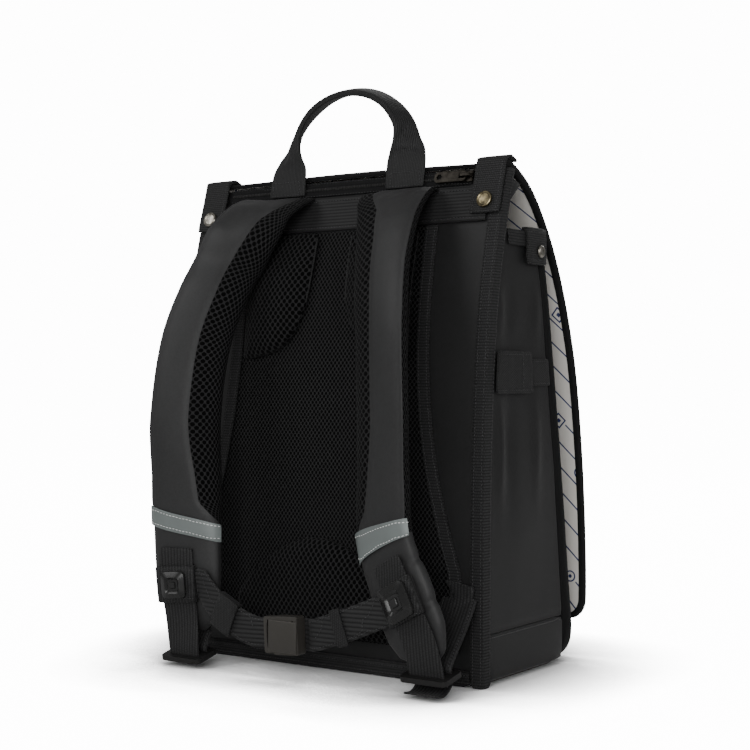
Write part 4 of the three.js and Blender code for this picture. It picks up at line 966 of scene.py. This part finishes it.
@dataclass
class BackPadding(Assembly):
    """Mesh padding of the back."""

    # foam: blob size and seed of the noise
    foam: tuple[float, float] = (35 * MM, 5)
    dimple: float = 0.5 * MM
    swell: float = 4.5 * MM

    def swollen(self, node: str) -> Displacement:
        """Displacement that rounds a pad out between its edges, as foam does."""
        low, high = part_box(node)
        centre, half = (low + high) / 2, (high - low) / 2

        def moved(place: Vector, normal: Vector) -> Vector:
            """Further out towards the middle of the pad."""
            x, z = (place.x - centre.x) / half.x, (place.z - centre.z) / half.z
            rise = max(1 - x * x, 0) ** 0.5 * max(1 - z * z, 0) ** 0.5
            front = max(-normal.y, 0)
            return self.puffed(place, normal) - Vector((0, self.swell * rise * front, 0))

        return moved

    def puffed(self, place: Vector, normal: Vector) -> Vector:
        """Uneven foam under the mesh."""
        return place - normal * abs(ripple(place, *self.foam)) * self.dimple

    def pieces(self) -> Iterable[Piece]:
        """Centre panel, pads and border tapes."""
        yield dressed("centre_mesh", "centre_mesh_cloth", BACK_MESH, "mesh", 2, 0.6, 0.4, moved=self.puffed)
        for node in ("upper_pad_left", "upper_pad_right", "lumbar_pad"):
            yield dressed(node, f"{node}_cloth", PAD_MESH, "mesh", 3, 0.25, 0.5, moved=self.swollen(node))
        for side, _ in SIDES:
            yield dressed(f"border_tape_{side}", f"border_tape_cloth_{side}", EDGE_TAPE, "webbing", 2, 0.6)


@dataclass
class TopOfBack(Assembly):
    """Yoke, zip, corner tabs, snaps and handle."""

    tooth: tuple[float, float, float] = (0.9 * MM, 2.6 * MM, 1.0 * MM)
    tooth_spacing: float = 1.6 * MM
    rib_depth: float = 0.25 * MM
    ribs: float = 2.4 / MM
    foot_level: float = 412
    foot_place: float = 58
    gather_depth: float = 1.2 * MM
    tilt: float = 0.3
    cap_steps: int = 40
    # Rows of share of the radius and height in millimetres
    cap_outline: Pairs = (
        (0, 1.0), (0.42, 0.95), (0.6, 0.75), (0.66, 0.72), (0.74, 1.25), (0.86, 1.45), (0.96, 1.1),
        (1, 0.2), (0.96, -1.3),
    )

    def ribbed(self, place: Vector, normal: Vector) -> Vector:
        """Lengthwise ridges of the zip tape and yoke."""
        return place + normal * math.sin(place.z * self.ribs) * self.rib_depth / 2

    def gathered(self, place: Vector, normal: Vector) -> Vector:
        """Folds at the feet of the handle, where its webbing is turned in on itself."""
        level = place.z / MM
        fold = bump(level, self.foot_level, 10) * math.cos((abs(place.x) / MM - self.foot_place) / 2)
        return place - normal * (1 - fold) / 2 * bump(level, self.foot_level, 12) * self.gather_depth

    def snap(self, side: str, finish: Finish) -> Thing:
        """Snap cap with a rolled rim and a sunk, slightly domed disc."""
        low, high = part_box(f"snap_{side}")
        centre = (low + high) / 2
        radius = (high.x - low.x) / 2
        facing = Vector((0, -1, self.tilt)).normalized()
        spin = Matrix.Translation(centre) @ facing.to_track_quat("Z", "Y").to_matrix().to_4x4()

        def point(row: int, column: int) -> Vector:
            """Point of the turned outline."""
            angle = 2 * math.pi * column / self.cap_steps
            reach, height = self.cap_outline[row]
            reach = max(reach, 0.02) * radius
            return spin @ Vector((reach * math.cos(angle), reach * math.sin(angle), height * MM))

        return cap(f"snap_cap_{side}", len(self.cap_outline), self.cap_steps, point, finish, 35)

    def pieces(self) -> Iterable[Piece]:
        """Everything along the upper edge of the back."""
        yield dressed("yoke", "yoke_cloth", YOKE_WEBBING, "webbing", 3, 0.7, moved=self.ribbed)
        tape = dressed("zip_tape", "zip_tape_cloth", BINDING_CLOTH, "dark_fabric", 3, 0.7, moved=self.ribbed)
        yield tape
        low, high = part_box("zip_tape")
        ends = [Vector((x, -CAST_FROM, (low.z + high.z) / 2)) for x in (low.x + 2 * MM, high.x - 2 * MM)]
        line = Surface(tape.thing).laid(ends, Vector((0, 1, 0)), TOOTH_LIFT)
        teeth = BLOCK_ROW.run("zip_teeth", line, PLASTIC, self.tooth_spacing, self.tooth)
        yield Piece(teeth, slot="plastic")
        for (side, _), finish in zip(SIDES, (NICKEL, OLD_BRASS)):
            yield dressed(f"corner_tab_{side}", f"corner_tab_cloth_{side}", FLAT_WEBBING, "webbing")
            yield Piece(self.snap(side, finish), [f"snap_{side}"], "metal")
        yield dressed("handle", "handle_webbing", HANDLE_WEBBING, "webbing", 3, 0.35, moved=self.gathered)
        yield dressed("zip_slider", "zip_slider_body", GUNMETAL, "gunmetal", 0, bevel=0.25 * MM)
        yield dressed("zip_pull", "zip_pull_plate", GUNMETAL, "gunmetal", 0, body=PULL, bevel=0.2 * MM)


@dataclass
class Flap(Assembly):
    """Long cover flap with its lining, binding and clasp."""

    hem: float = 7 * MM
    sharp: float = 45

    def hemmed(self, sheet: Piece) -> Piece:
        """Binds the flap's end along the upper edge of the back in dark cloth."""
        mesh = sheet.thing.data
        mesh.materials.append(BINDING_CLOTH.material())
        end = min(vertex.co.y for vertex in mesh.vertices)
        for polygon in mesh.polygons:
            polygon.material_index = int(polygon.center.y < end + self.hem)
        return sheet

    def pieces(self) -> Iterable[Piece]:
        """Outer cloth, lining, binding and clasp."""
        sharp = self.sharp
        yield self.hemmed(dressed("flap_outer", "flap_cloth", COVER_CLOTH, "flap", 2, 0.8, sharp=sharp))
        yield self.hemmed(dressed("flap_lining", "flap_lining_cloth", LINING, "lining", 2, 0.8, sharp=sharp))
        yield dressed("flap_binding", "flap_binding_cloth", BINDING_CLOTH, "dark_fabric", 1, 0.6, sharp=sharp)
        yield dressed("flap_clasp", "flap_clasp_disc", PLASTIC, "plastic", 1, 0.9, bevel=0.6 * MM)


@dataclass
class SideTrim(Assembly):
    """Pocket bands, gusset tabs and their snaps."""

    def pieces(self) -> Iterable[Piece]:
        """Trim of both sides."""
        for side, _ in SIDES:
            for node, finish in (
                ("pocket_band", CROSS_WEBBING),
                ("pocket_web", CROSS_WEBBING),
                ("gusset_tab", FLAT_WEBBING),
            ):
                yield dressed(f"{node}_{side}", f"{node}_cloth_{side}", finish, "webbing")
            snap, name = f"gusset_snap_{side}", f"gusset_snap_cap_{side}"
            yield dressed(snap, name, NICKEL, "metal", 2, 0.6, bevel=0.6 * MM)


# Straps


@dataclass
class StrapRoute:
    """Centre line of a shoulder strap, in shares of the bag's sizes."""

    side: int
    rows: Sequence[tuple[float, float, float, float, float, float]]
    half_width: float = 147.5 * MM
    half_depth: float = 77 * MM
    depth: float = 154 * MM
    height: float = 388 * MM
    reach: float = 50 * MM
    wide: float = 60 * MM
    thick: float = 17 * MM
    insets: Pairs = (
        (0, 0), (0.27, 0), (0.45, 0.013), (0.59, 0.035), (0.66, 0.053), (0.745, 0.077), (0.825, 0.121),
        (0.902, 0.166), (1, 0.24),
    )
    points: list[Vector] = field(default_factory=list)

    def __post_init__(self) -> None:
        """Places the route's points."""
        for height, across, reach, *_ in self.rows:
            out = self.depth * looked_up(self.insets, height) - self.half_depth - reach * self.reach
            self.points.append(Vector((self.side * across * self.half_width, out, height * self.height)))

    def at(self, t: float) -> Vector:
        """Point of the centripetal curve through the points, t from 0 to 1."""
        points = self.points
        spot = t * (len(points) - 1)
        index = min(int(spot), len(points) - 2)
        weight = spot - index
        p1, p2 = points[index], points[index + 1]
        p0 = points[index - 1] if index else p1 * 2 - p2
        p3 = points[index + 2] if index + 2 < len(points) else p2 * 2 - p1
        d0, d1, d2 = (max((b - a).length ** 0.5, 1e-6) for a, b in ((p0, p1), (p1, p2), (p2, p3)))
        m1 = ((p1 - p0) / d0 - (p2 - p0) / (d0 + d1) + (p2 - p1) / d1) * d1
        m2 = ((p2 - p1) / d1 - (p3 - p1) / (d1 + d2) + (p3 - p2) / d2) * d1
        w2, w3 = weight**2, weight**3
        ends = p1 * (2 * w3 - 3 * w2 + 1) + p2 * (3 * w2 - 2 * w3)
        return ends + m1 * (w3 - 2 * w2 + weight) + m2 * (w3 - w2)

    def section(self, t: float) -> tuple[Vector, Vector, Vector, float, float]:
        """Place, direction across, direction out, width and thickness at t."""
        spot = t * (len(self.rows) - 1)
        index = min(int(spot), len(self.rows) - 2)
        before, after = self.rows[index : index + 2]
        wide, thick, turn = (share(before[k], after[k], spot - index) for k in (3, 4, 5))
        along = (self.at(min(t + 0.002, 1)) - self.at(max(t - 0.002, 0))).normalized()
        angle = math.radians(turn)
        lateral = Vector((self.side * math.cos(angle), -math.sin(angle), 0))
        lateral = (lateral - along * lateral.dot(along)).normalized()
        out = along.cross(lateral) * self.side
        return self.at(t), lateral, out, wide * self.wide, thick * self.thick


# Rows of a route: shares of height, half width and reach, then of the strap's width and thickness, and the
# turn of its face towards the middle in degrees

LEFT_ROUTE = (
    (0.963, 0.42, 0.1, 1.17, 0.34, 0), (0.957, 0.42, 0.22, 1.14, 0.55, 0), (0.935, 0.46, 0.42, 1.1, 0.8, 6),
    (0.89, 0.51, 0.56, 1.06, 0.95, 11), (0.83, 0.58, 0.6, 1, 1, 15), (0.768, 0.62, 0.72, 1, 1, 17),
    (0.667, 0.67, 0.88, 1, 1, 18), (0.5, 0.67, 1.04, 1, 1, 18), (0.38, 0.655, 1.02, 1, 1, 16),
    (0.285, 0.65, 1, 1, 1, 14), (0.2, 0.645, 0.98, 1, 1, 12), (0.13, 0.635, 0.94, 0.9, 0.9, 10),
    (0.09, 0.63, 0.9, 0.66, 0.7, 8), (0.07, 0.63, 0.88, 0.36, 0.4, 8),
)
RIGHT_ROUTE = (
    (0.963, 0.395, 0.1, 1.17, 0.34, 0), (0.957, 0.395, 0.21, 1.14, 0.55, 0),
    (0.935, 0.415, 0.38, 1.08, 0.8, 6), (0.89, 0.44, 0.54, 1.02, 0.95, 12),
    (0.8, 0.48, 0.7, 0.98, 1, 17), (0.68, 0.54, 0.84, 0.96, 1, 19), (0.52, 0.575, 0.85, 0.96, 1, 19),
    (0.4, 0.585, 0.83, 0.96, 1, 18), (0.278, 0.61, 0.84, 0.98, 1, 15), (0.18, 0.725, 0.88, 1, 1, 10),
    (0.115, 0.81, 0.9, 0.92, 0.85, 6), (0.078, 0.845, 0.9, 0.7, 0.55, 4), (0.06, 0.855, 0.9, 0.36, 0.3, 4),
)


@dataclass
class ShoulderStrap(Assembly):
    """Padded strap with cloth on its outer face, mesh round its inner edge, webbing and adjuster."""

    side: str
    route: StrapRoute
    rings: int = 150
    around: int = 64
    seam_column: int = 20
    back_columns: int = 3
    flank_columns: int = 3
    flank_low: float = 0.31
    ridge: float = 1.3 * MM
    flank_rise: float = 40
    seam_depth: float = 1.1 * MM
    squareness: float = 0.8
    girth: float = 138 * MM
    # Blob size, seed and depth of each layer of unevenness
    dents: Triples = ((24 * MM, 4, 0.35 * MM), (60 * MM, 6, 0.6 * MM))
    root: tuple[float, float] = (0.93, 0.03)
    root_dents: tuple[float, float] = (12 * MM, 7)
    seam_width: float = 0.06
    ridge_width: float = 1.3
    crease_width: float = 0.005
    crease_slant: float = 0.012
    creases: Pairs = ()
    search_steps: int = 400
    stud_share: float = 0.96
    stud_steps: int = 32
    stud_power: int = 7
    # Rows of share of the half width and height in millimetres
    stud_rings: Pairs = (
        (0.02, 2.2), (0.2, 2.2), (0.23, 1.9), (0.26, 1.0), (0.42, 0.9), (0.46, 1.5), (0.6, 2.6), (0.9, 1.2),
        (0.98, 0.7), (1.0, 0.2), (1.0, -1.6),
    )
    # Rows of level and place of the mesh's seam across the strap
    mesh_edge: Pairs = (
        (0.29, -1.05), (0.335, -0.46), (0.44, -0.25), (0.5, -0.17), (0.86, -0.18), (0.92, -0.3),
        (0.965, -0.7),
    )

    def turned(self, level: float, column: float) -> float:
        """Angle of a column of points round the section, so that one column keeps to the mesh's seam."""
        edge = max(looked_up(self.mesh_edge, level), -1)
        seam = math.acos(math.copysign(abs(edge) ** 1.25, edge))
        if column <= self.seam_column:
            return seam * column / self.seam_column
        return share(seam, 2 * math.pi, (column - self.seam_column) / (self.around - self.seam_column))

    def surface(self, row: int, column: int) -> Vector:
        """Point of the strap's skin."""
        t = row / (self.rings - 1)
        place, across, out, wide, thick = self.route.section(t)
        level = place.z / self.route.height
        angle = self.turned(level, column)
        c, s = math.cos(angle), math.sin(angle)
        a, b = (math.copysign(abs(value) ** self.squareness, value) for value in (c, s))
        point = place + across * (a * wide / 2) + out * (b * thick / 2)
        inward = 0.0
        if s > 0:
            inward += bump(a, looked_up(self.mesh_edge, level), self.seam_width) * self.seam_depth
        rise = min(max((level - self.flank_low) * self.flank_rise, 0), 1)
        inward -= bump(column, self.flank_columns, self.ridge_width) * self.ridge * rise
        inward += sum(abs(ripple(point, size, seed)) * depth for size, seed, depth in self.dents)
        inward += bump(level, *self.root) * abs(ripple(point, *self.root_dents)) * MM
        for height, depth in self.creases:
            centre = height + self.crease_slant * (a - 0.7)
            inward += bump(level, centre, self.crease_width) * max(a - 0.35, 0) * depth
        return point - (across * c * 0.6 + out * s).normalized() * inward

    def padding(self) -> Thing:
        """Strap's body with its two cloths."""
        middle = [self.surface(row, 15) for row in range(self.rings)]
        lengths = [0.0]
        for before, after in zip(middle, middle[1:]):
            lengths.append(lengths[-1] + (after - before).length)

        def uv(row: int, column: int) -> tuple[float, float]:
            """Distance round and along the strap."""
            return column / self.around * self.girth, lengths[row]

        strap = grid_mesh(f"strap_padding_{self.side}", self.rings, self.around, self.surface, uv)
        wear(strap, STRAP_CLOTH, PAD_MESH)
        levels = [self.surface(row, 0).z / self.route.height for row in range(self.rings)]
        for index, polygon in enumerate(strap.data.polygons):
            row, column = divmod(index, self.around)
            face = column < self.seam_column or column >= self.around - self.back_columns
            if row < self.rings and levels[row] > self.flank_low:
                face = self.flank_columns <= column < self.seam_column
            polygon.material_index = 0 if face and row < self.rings - 1 else 1
        modify(outward(strap), "SUBSURF", levels=1, render_levels=1)
        return finished(baked(strap), None, 80)

    def nearest(self, place: Vector) -> tuple[Vector, Vector, Vector, float, float]:
        """The route's section nearest to a place."""
        spots = (step / self.search_steps for step in range(self.search_steps + 1))
        return self.route.section(min(spots, key=lambda t: (self.route.at(t) - place).length))

    def stud(self) -> Thing:
        """Square stud with a stepped rim and a small raised square."""
        low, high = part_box(f"stud_{self.side}")
        centre = (low + high) / 2
        _, across, out, _, _ = self.nearest(centre)
        along = out.cross(across)
        half = (high.z - low.z) / 2 * self.stud_share
        rings, steps = len(self.stud_rings), self.stud_steps

        def point(row: int, column: int) -> Vector:
            """Point of the stud's rounded square rings."""
            reach, height = self.stud_rings[row]
            angle = 2 * math.pi * (column + 0.5) / steps
            c, s = math.cos(angle), math.sin(angle)
            power = self.stud_power
            size = reach * half / (abs(c) ** power + abs(s) ** power) ** (1 / power)
            return centre + across * (c * size) + along * (s * size) + out * (height * MM)

        return cap(f"stud_cap_{self.side}", rings, steps, point, STUD_PLASTIC, 28)

    def pieces(self) -> Iterable[Piece]:
        """Padding, reflective strip, webbing, sleeve, stud, lock and lower webbing."""
        side = self.side
        yield Piece(self.padding(), [f"shoulder_strap_{side}"], "fabric", padded=0.6)
        yield dressed(f"reflective_{side}", f"reflective_strip_{side}", REFLECTIVE, "reflective", 2, 0.8)
        for node in ("strap_webbing", "sleeve", "anchor"):
            yield dressed(f"{node}_{side}", f"{node}_cloth_{side}", STRAP_WEBBING, "webbing", 2, 0.7)
        yield Piece(self.stud(), [f"stud_{side}"], "plastic")
        lock, name = f"ladder_lock_{side}", f"ladder_lock_frame_{side}"
        yield dressed(lock, name, PLASTIC, "plastic", 2, 0.8, bevel=0.9 * MM)


@dataclass
class ChestStrap(Assembly):
    """Webbing across the chest with its keepers and buckle."""

    plate_share: tuple[float, float] = (0.2, 0.97)
    plate_thick: float = 1.1 * MM
    plate_margin: float = 2.2 * MM
    plate_outline: Pairs = ((0.01, 1), (0.97, 1), (1, 0.6), (1, 0))

    def plate(self) -> Thing:
        """Flat cover over the front of the buckle, between its rails."""
        low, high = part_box("buckle_latch")
        other_low, other_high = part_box("buckle_body")
        left, right = min(low.x, other_low.x), max(high.x, other_high.x)
        start, end = (share(left, right, at) for at in self.plate_share)
        face = min(low.y, other_low.y)
        corners = ((-1, -1), (1, -1), (1, 1), (-1, 1))
        centre = ((start + end) / 2, (low.z + high.z) / 2)
        half = ((end - start) / 2, (high.z - low.z) / 2 - self.plate_margin)

        def point(row: int, column: int) -> Vector:
            """Point of the plate's stepped outline."""
            reach, height = self.plate_outline[row]
            x, z = (centre[k] + corners[column][k] * half[k] * reach for k in (0, 1))
            return Vector((x, face - height * self.plate_thick, z))

        made = grid_mesh("buckle_plate", len(self.plate_outline), len(corners), point)
        modify(made, "BEVEL", width=0.3 * MM, segments=2, limit_method="ANGLE")
        return outward(finished(baked(made), None, 35))

    def pieces(self) -> Iterable[Piece]:
        """Both webbings, keepers and buckle halves."""
        for side, _ in SIDES:
            web, name = f"chest_strap_{side}", f"chest_webbing_{side}"
            yield dressed(web, name, RIBBED_WEBBING, "webbing", 2, 0.7)
            yield dressed(f"keeper_{side}", f"keeper_cloth_{side}", CROSS_WEBBING, "webbing", 2, 0.7)
        for node in ("buckle_body", "buckle_latch"):
            yield dressed(node, f"{node}_shell", BUCKLE_PLASTIC, "plastic", 2, 0.8, bevel=0.9 * MM)
        yield Piece(wear(self.plate(), BUCKLE_PLASTIC), slot="plastic")


# Seams


@dataclass(frozen=True)
class Seam:
    """Rows of stitches that run along a finished piece, at shares of its width."""

    piece: str
    along: int
    across: int
    shares: Sequence[float]
    facing: tuple[float, float, float] = (0, 1, 0)
    span: tuple[float, float] = (0.02, 0.98)
    finish: Finish = DARK_THREAD
    spacing: float = 2.6 * MM
    thick: float = 0.6 * MM
    step: float = 4 * MM

    def extents(self) -> dict[int, tuple[float, float]]:
        """Least and greatest place across the piece, by whole steps along it."""
        found: dict[int, tuple[float, float]] = {}
        for vertex in bpy.data.objects[self.piece].data.vertices:
            place = vertex.co[self.across]
            middle = round(vertex.co[self.along] / self.step)
            for level in (middle - 1, middle, middle + 1):
                low, high = found.get(level, (place, place))
                found[level] = (min(low, place), max(high, place))
        return found

    def rows(self) -> list[list[Vector]]:
        """The seam's rows, on the piece's surface."""
        extents = self.extents()
        levels = sorted(extents)
        first, last = (round(len(levels) * at) for at in self.span)
        surface = Surface(bpy.data.objects[self.piece])
        direction = Vector(self.facing)
        found = []
        for at in self.shares:
            path = []
            for level in levels[first : max(last, 2)]:
                point = direction * -CAST_FROM
                point[self.along] = level * self.step
                point[self.across] = share(*extents[level], at)
                path.append(point)
            found += surface.laid(path, direction, STITCH_LIFT)
        return found


@dataclass
class Seams(Assembly):
    """Every row of stitches that is laid on finished pieces, and the near-black rows that paint the shadow in
    the pads' grooves.
    """

    wide: float = 3.2 * MM
    middle: float = 2.8 * MM
    low_seam: float = 0.94
    fullness: float = 0.74
    foot_width: float = 34 * MM
    foot_height: float = 13 * MM

    def both(self, side: str, way: int) -> list[Seam]:
        """Seams that each side has."""
        inward, pair = (-way, 0, 0), (0.2, 0.8)
        wide, middle = self.wide, self.middle
        return [
            Seam(f"back_tape_cloth_{side}", 2, 0, pair),
            Seam(f"back_tape_cloth_{side}", 2, 1, (0.85,), inward, spacing=wide),
            Seam(f"border_tape_cloth_{side}", 2, 0, pair),
            Seam(f"pocket_band_cloth_{side}", 1, 2, (0.08, 0.92), inward, spacing=middle),
            Seam(f"pocket_web_cloth_{side}", 1, 2, (0.1, 0.9), inward, spacing=middle),
            Seam(f"gusset_tab_cloth_{side}", 1, 2, (0.12, 0.88), inward, (0.08, 0.95)),
            Seam(f"corner_tab_cloth_{side}", 2, 0, (0.1, 0.9), span=(0.05, 0.8)),
            Seam("base_cloth", 1, 2, (self.low_seam,), inward, (0.05, 0.93), SEAM_THREAD, wide),
            Seam(f"chest_webbing_{side}", 0, 2, (0.12, 0.88)),
            Seam(f"sleeve_cloth_{side}", 0, 2, (0.12, 0.88), spacing=2.2 * MM),
            Seam(f"chest_webbing_{side}", 2, 0, (0.3, 0.72), span=(0.3, 0.95)),
            Seam(f"pocket_band_cloth_{side}", 2, 1, (0.72,), inward, (0.1, 0.95), spacing=middle),
            Seam(f"anchor_cloth_{side}", 2, 0, (0.08, 0.92), span=(0.1, 0.9)),
            Seam(f"reflective_strip_{side}", 0, 2, pair, finish=WHITE_THREAD, spacing=3 * MM),
        ]

    def pads(self) -> list[Seam]:
        """Near-black rows round each pad of the back: painted shadow of the groove."""
        names = ("lumbar_pad_cloth", "upper_pad_left_cloth", "upper_pad_right_cloth")
        looks = {"span": (0, 1), "finish": PAD_GROOVE_SHADOW, "spacing": 1.6 * MM, "thick": 2 * MM}
        return [Seam(name, 2, 0, (0.012, 0.988), **looks) for name in names]

    def handle_boxes(self) -> list[list[Vector]]:
        """Boxes of stitches on the handle's feet."""
        low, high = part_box("handle")
        surface = Surface(bpy.data.objects["handle_webbing"])
        outline = ((-0.4, 0.1), (0.4, 0.1), (0.4, 0.95), (-0.4, 0.95), (-0.4, 0.1))
        found = []
        wide, tall = self.foot_width, self.foot_height
        for middle in (low.x + wide / 2, high.x - wide / 2):
            corners = [Vector((middle + x * wide, -CAST_FROM, low.z + z * tall)) for x, z in outline]
            found += surface.laid(corners, Vector((0, 1, 0)), STITCH_LIFT)
        return found

    def pieces(self) -> Iterable[Piece]:
        """One object of stitches, or of painted groove shadow round a pad, for each piece that has seams."""
        outer, wide, middle = (0, -1, 0), self.wide, self.middle
        seams = [
            Seam("yoke_cloth", 0, 2, (0.1, 0.9), spacing=middle),
            Seam("zip_tape_cloth", 0, 2, (0.08, 0.92), spacing=middle),
            Seam("base_tape_cloth", 0, 2, (0.25, 0.75)),
            Seam("flap_cloth", 2, 0, (0.022, 0.978), outer, (0.03, 0.9), spacing=wide),
            Seam("flap_cloth", 0, 2, (0.03,), outer, (0.05, 0.95), spacing=wide),
        ]
        for side, way in SIDES:
            seams += self.both(side, way)
        grouped: dict[tuple[str, Finish, float, float], list[list[Vector]]] = {}
        # pads() gives near-black rows that paint the shadow in the pads' grooves.
        for seam in seams + self.pads():
            key = (seam.piece, seam.finish, seam.spacing, seam.thick)
            grouped.setdefault(key, []).extend(seam.rows())
        grouped[("handle_webbing", DARK_THREAD, Seam.spacing, Seam.thick)] = self.handle_boxes()
        for number, ((piece, finish, spacing, thick), rows) in enumerate(grouped.items()):
            size = (max(spacing * self.fullness, thick), thick, thick)
            name = f"{piece}_stitches_{number}"
            yield Piece(STITCH_ROW.run(name, rows, finish, spacing, size), slot="fabric")


# Studio


@dataclass
class Studio:
    """Floor, lights and camera."""

    camera_place: Vector = field(default_factory=lambda: Vector((0.7181, -1.0395, 0.231)))
    camera_look: Vector = field(default_factory=lambda: Vector((-0.5693, 0.8221, 0.0)))
    lens: float = 72.91
    sensor: float = 36.0
    fill: float = 0.28
    backdrop: float = 14.0
    clip: tuple[float, float] = (0.05, 60)
    floor_reach: float = 9.0
    floor_steps: int = 96
    floor_level: float = -0.4 * MM

    def floor(self) -> None:
        """Large plain floor."""
        mesh = bpy.data.meshes.new("floor")
        steps = self.floor_steps
        angles = [2 * math.pi * step / steps for step in range(steps)]
        reach, level = self.floor_reach, self.floor_level
        ring = [(reach * math.cos(angle), reach * math.sin(angle), level) for angle in angles]
        mesh.from_pydata(ring, [], [tuple(range(steps))])
        floor = new_object("floor", mesh)
        wear(floor, StudioFloor())

    def light(
        self, name: str, place: Sequence[float], target: Sequence[float], size: float, power: float
    ) -> None:
        """Square area light aimed at a point."""
        data = bpy.data.lights.new(name, "AREA")
        data.shape, data.size, data.energy = "SQUARE", size, power
        lamp = bpy.data.objects.new(name, data)
        lamp.location = place
        lamp.rotation_euler = (Vector(target) - Vector(place)).to_track_quat("-Z", "Y").to_euler()
        bpy.context.scene.collection.objects.link(lamp)

    def world(self) -> None:
        """White surroundings."""
        world = bpy.data.worlds.new("surroundings")
        world.use_nodes = True
        tree = world.node_tree
        background = tree.nodes["Background"]
        seen = add_node(tree, "ShaderNodeLightPath").outputs["Is Camera Ray"]
        ends = {"Value": seen, "To Min": self.fill, "To Max": self.backdrop}
        strength = add_node(tree, "ShaderNodeMapRange", None, ends).outputs[0]
        feed(tree, background.inputs["Color"], (1, 1, 1, 1))
        feed(tree, background.inputs["Strength"], strength)
        bpy.context.scene.world = world

    def camera(self) -> None:
        """Camera level with the middle of the bag, as in the photograph."""
        data = bpy.data.cameras.new("camera")
        data.lens, data.sensor_width, data.sensor_fit = self.lens, self.sensor, "AUTO"
        data.clip_start, data.clip_end = self.clip
        camera = bpy.data.objects.new("camera", data)
        camera.location = self.camera_place
        camera.rotation_euler = self.camera_look.to_track_quat("-Z", "Y").to_euler()
        bpy.context.scene.collection.objects.link(camera)
        bpy.context.scene.camera = camera

    def build(self) -> None:
        """Makes the studio."""
        self.floor()
        self.world()
        self.camera()
        self.light("key", (-1.3, -1.5, 1.5), (0, 0, 0.2), 1.1, 14)
        self.light("window", (1.0, -2.1, 0.8), (0.05, 0, 0.2), 1.2, 34)
        self.light("side", (1.9, -0.1, 0.9), (0, 0, 0.2), 0.9, 5)
        self.light("back", (-0.4, 1.8, 1.5), (0, 0, 0.25), 1.2, 22)


def main() -> None:
    """Builds the studio and the bag."""
    logging.basicConfig(level=logging.INFO, format="%(message)s")
    Studio().build()
    sub_assemblies: list[Assembly] = [
        Body(),
        BackPadding(),
        TopOfBack(),
        Flap(),
        SideTrim(),
        ShoulderStrap("left", StrapRoute(-1, LEFT_ROUTE)),
        ShoulderStrap("right", StrapRoute(1, RIGHT_ROUTE), creases=((0.222, 3.2 * MM), (0.146, 2.4 * MM))),
        ChestStrap(),
        Seams(),
    ]
    for sub_assembly in sub_assemblies:
        log.info("%s", type(sub_assembly).__name__)
        sub_assembly.build()


if __name__ == "__main__":
    main()
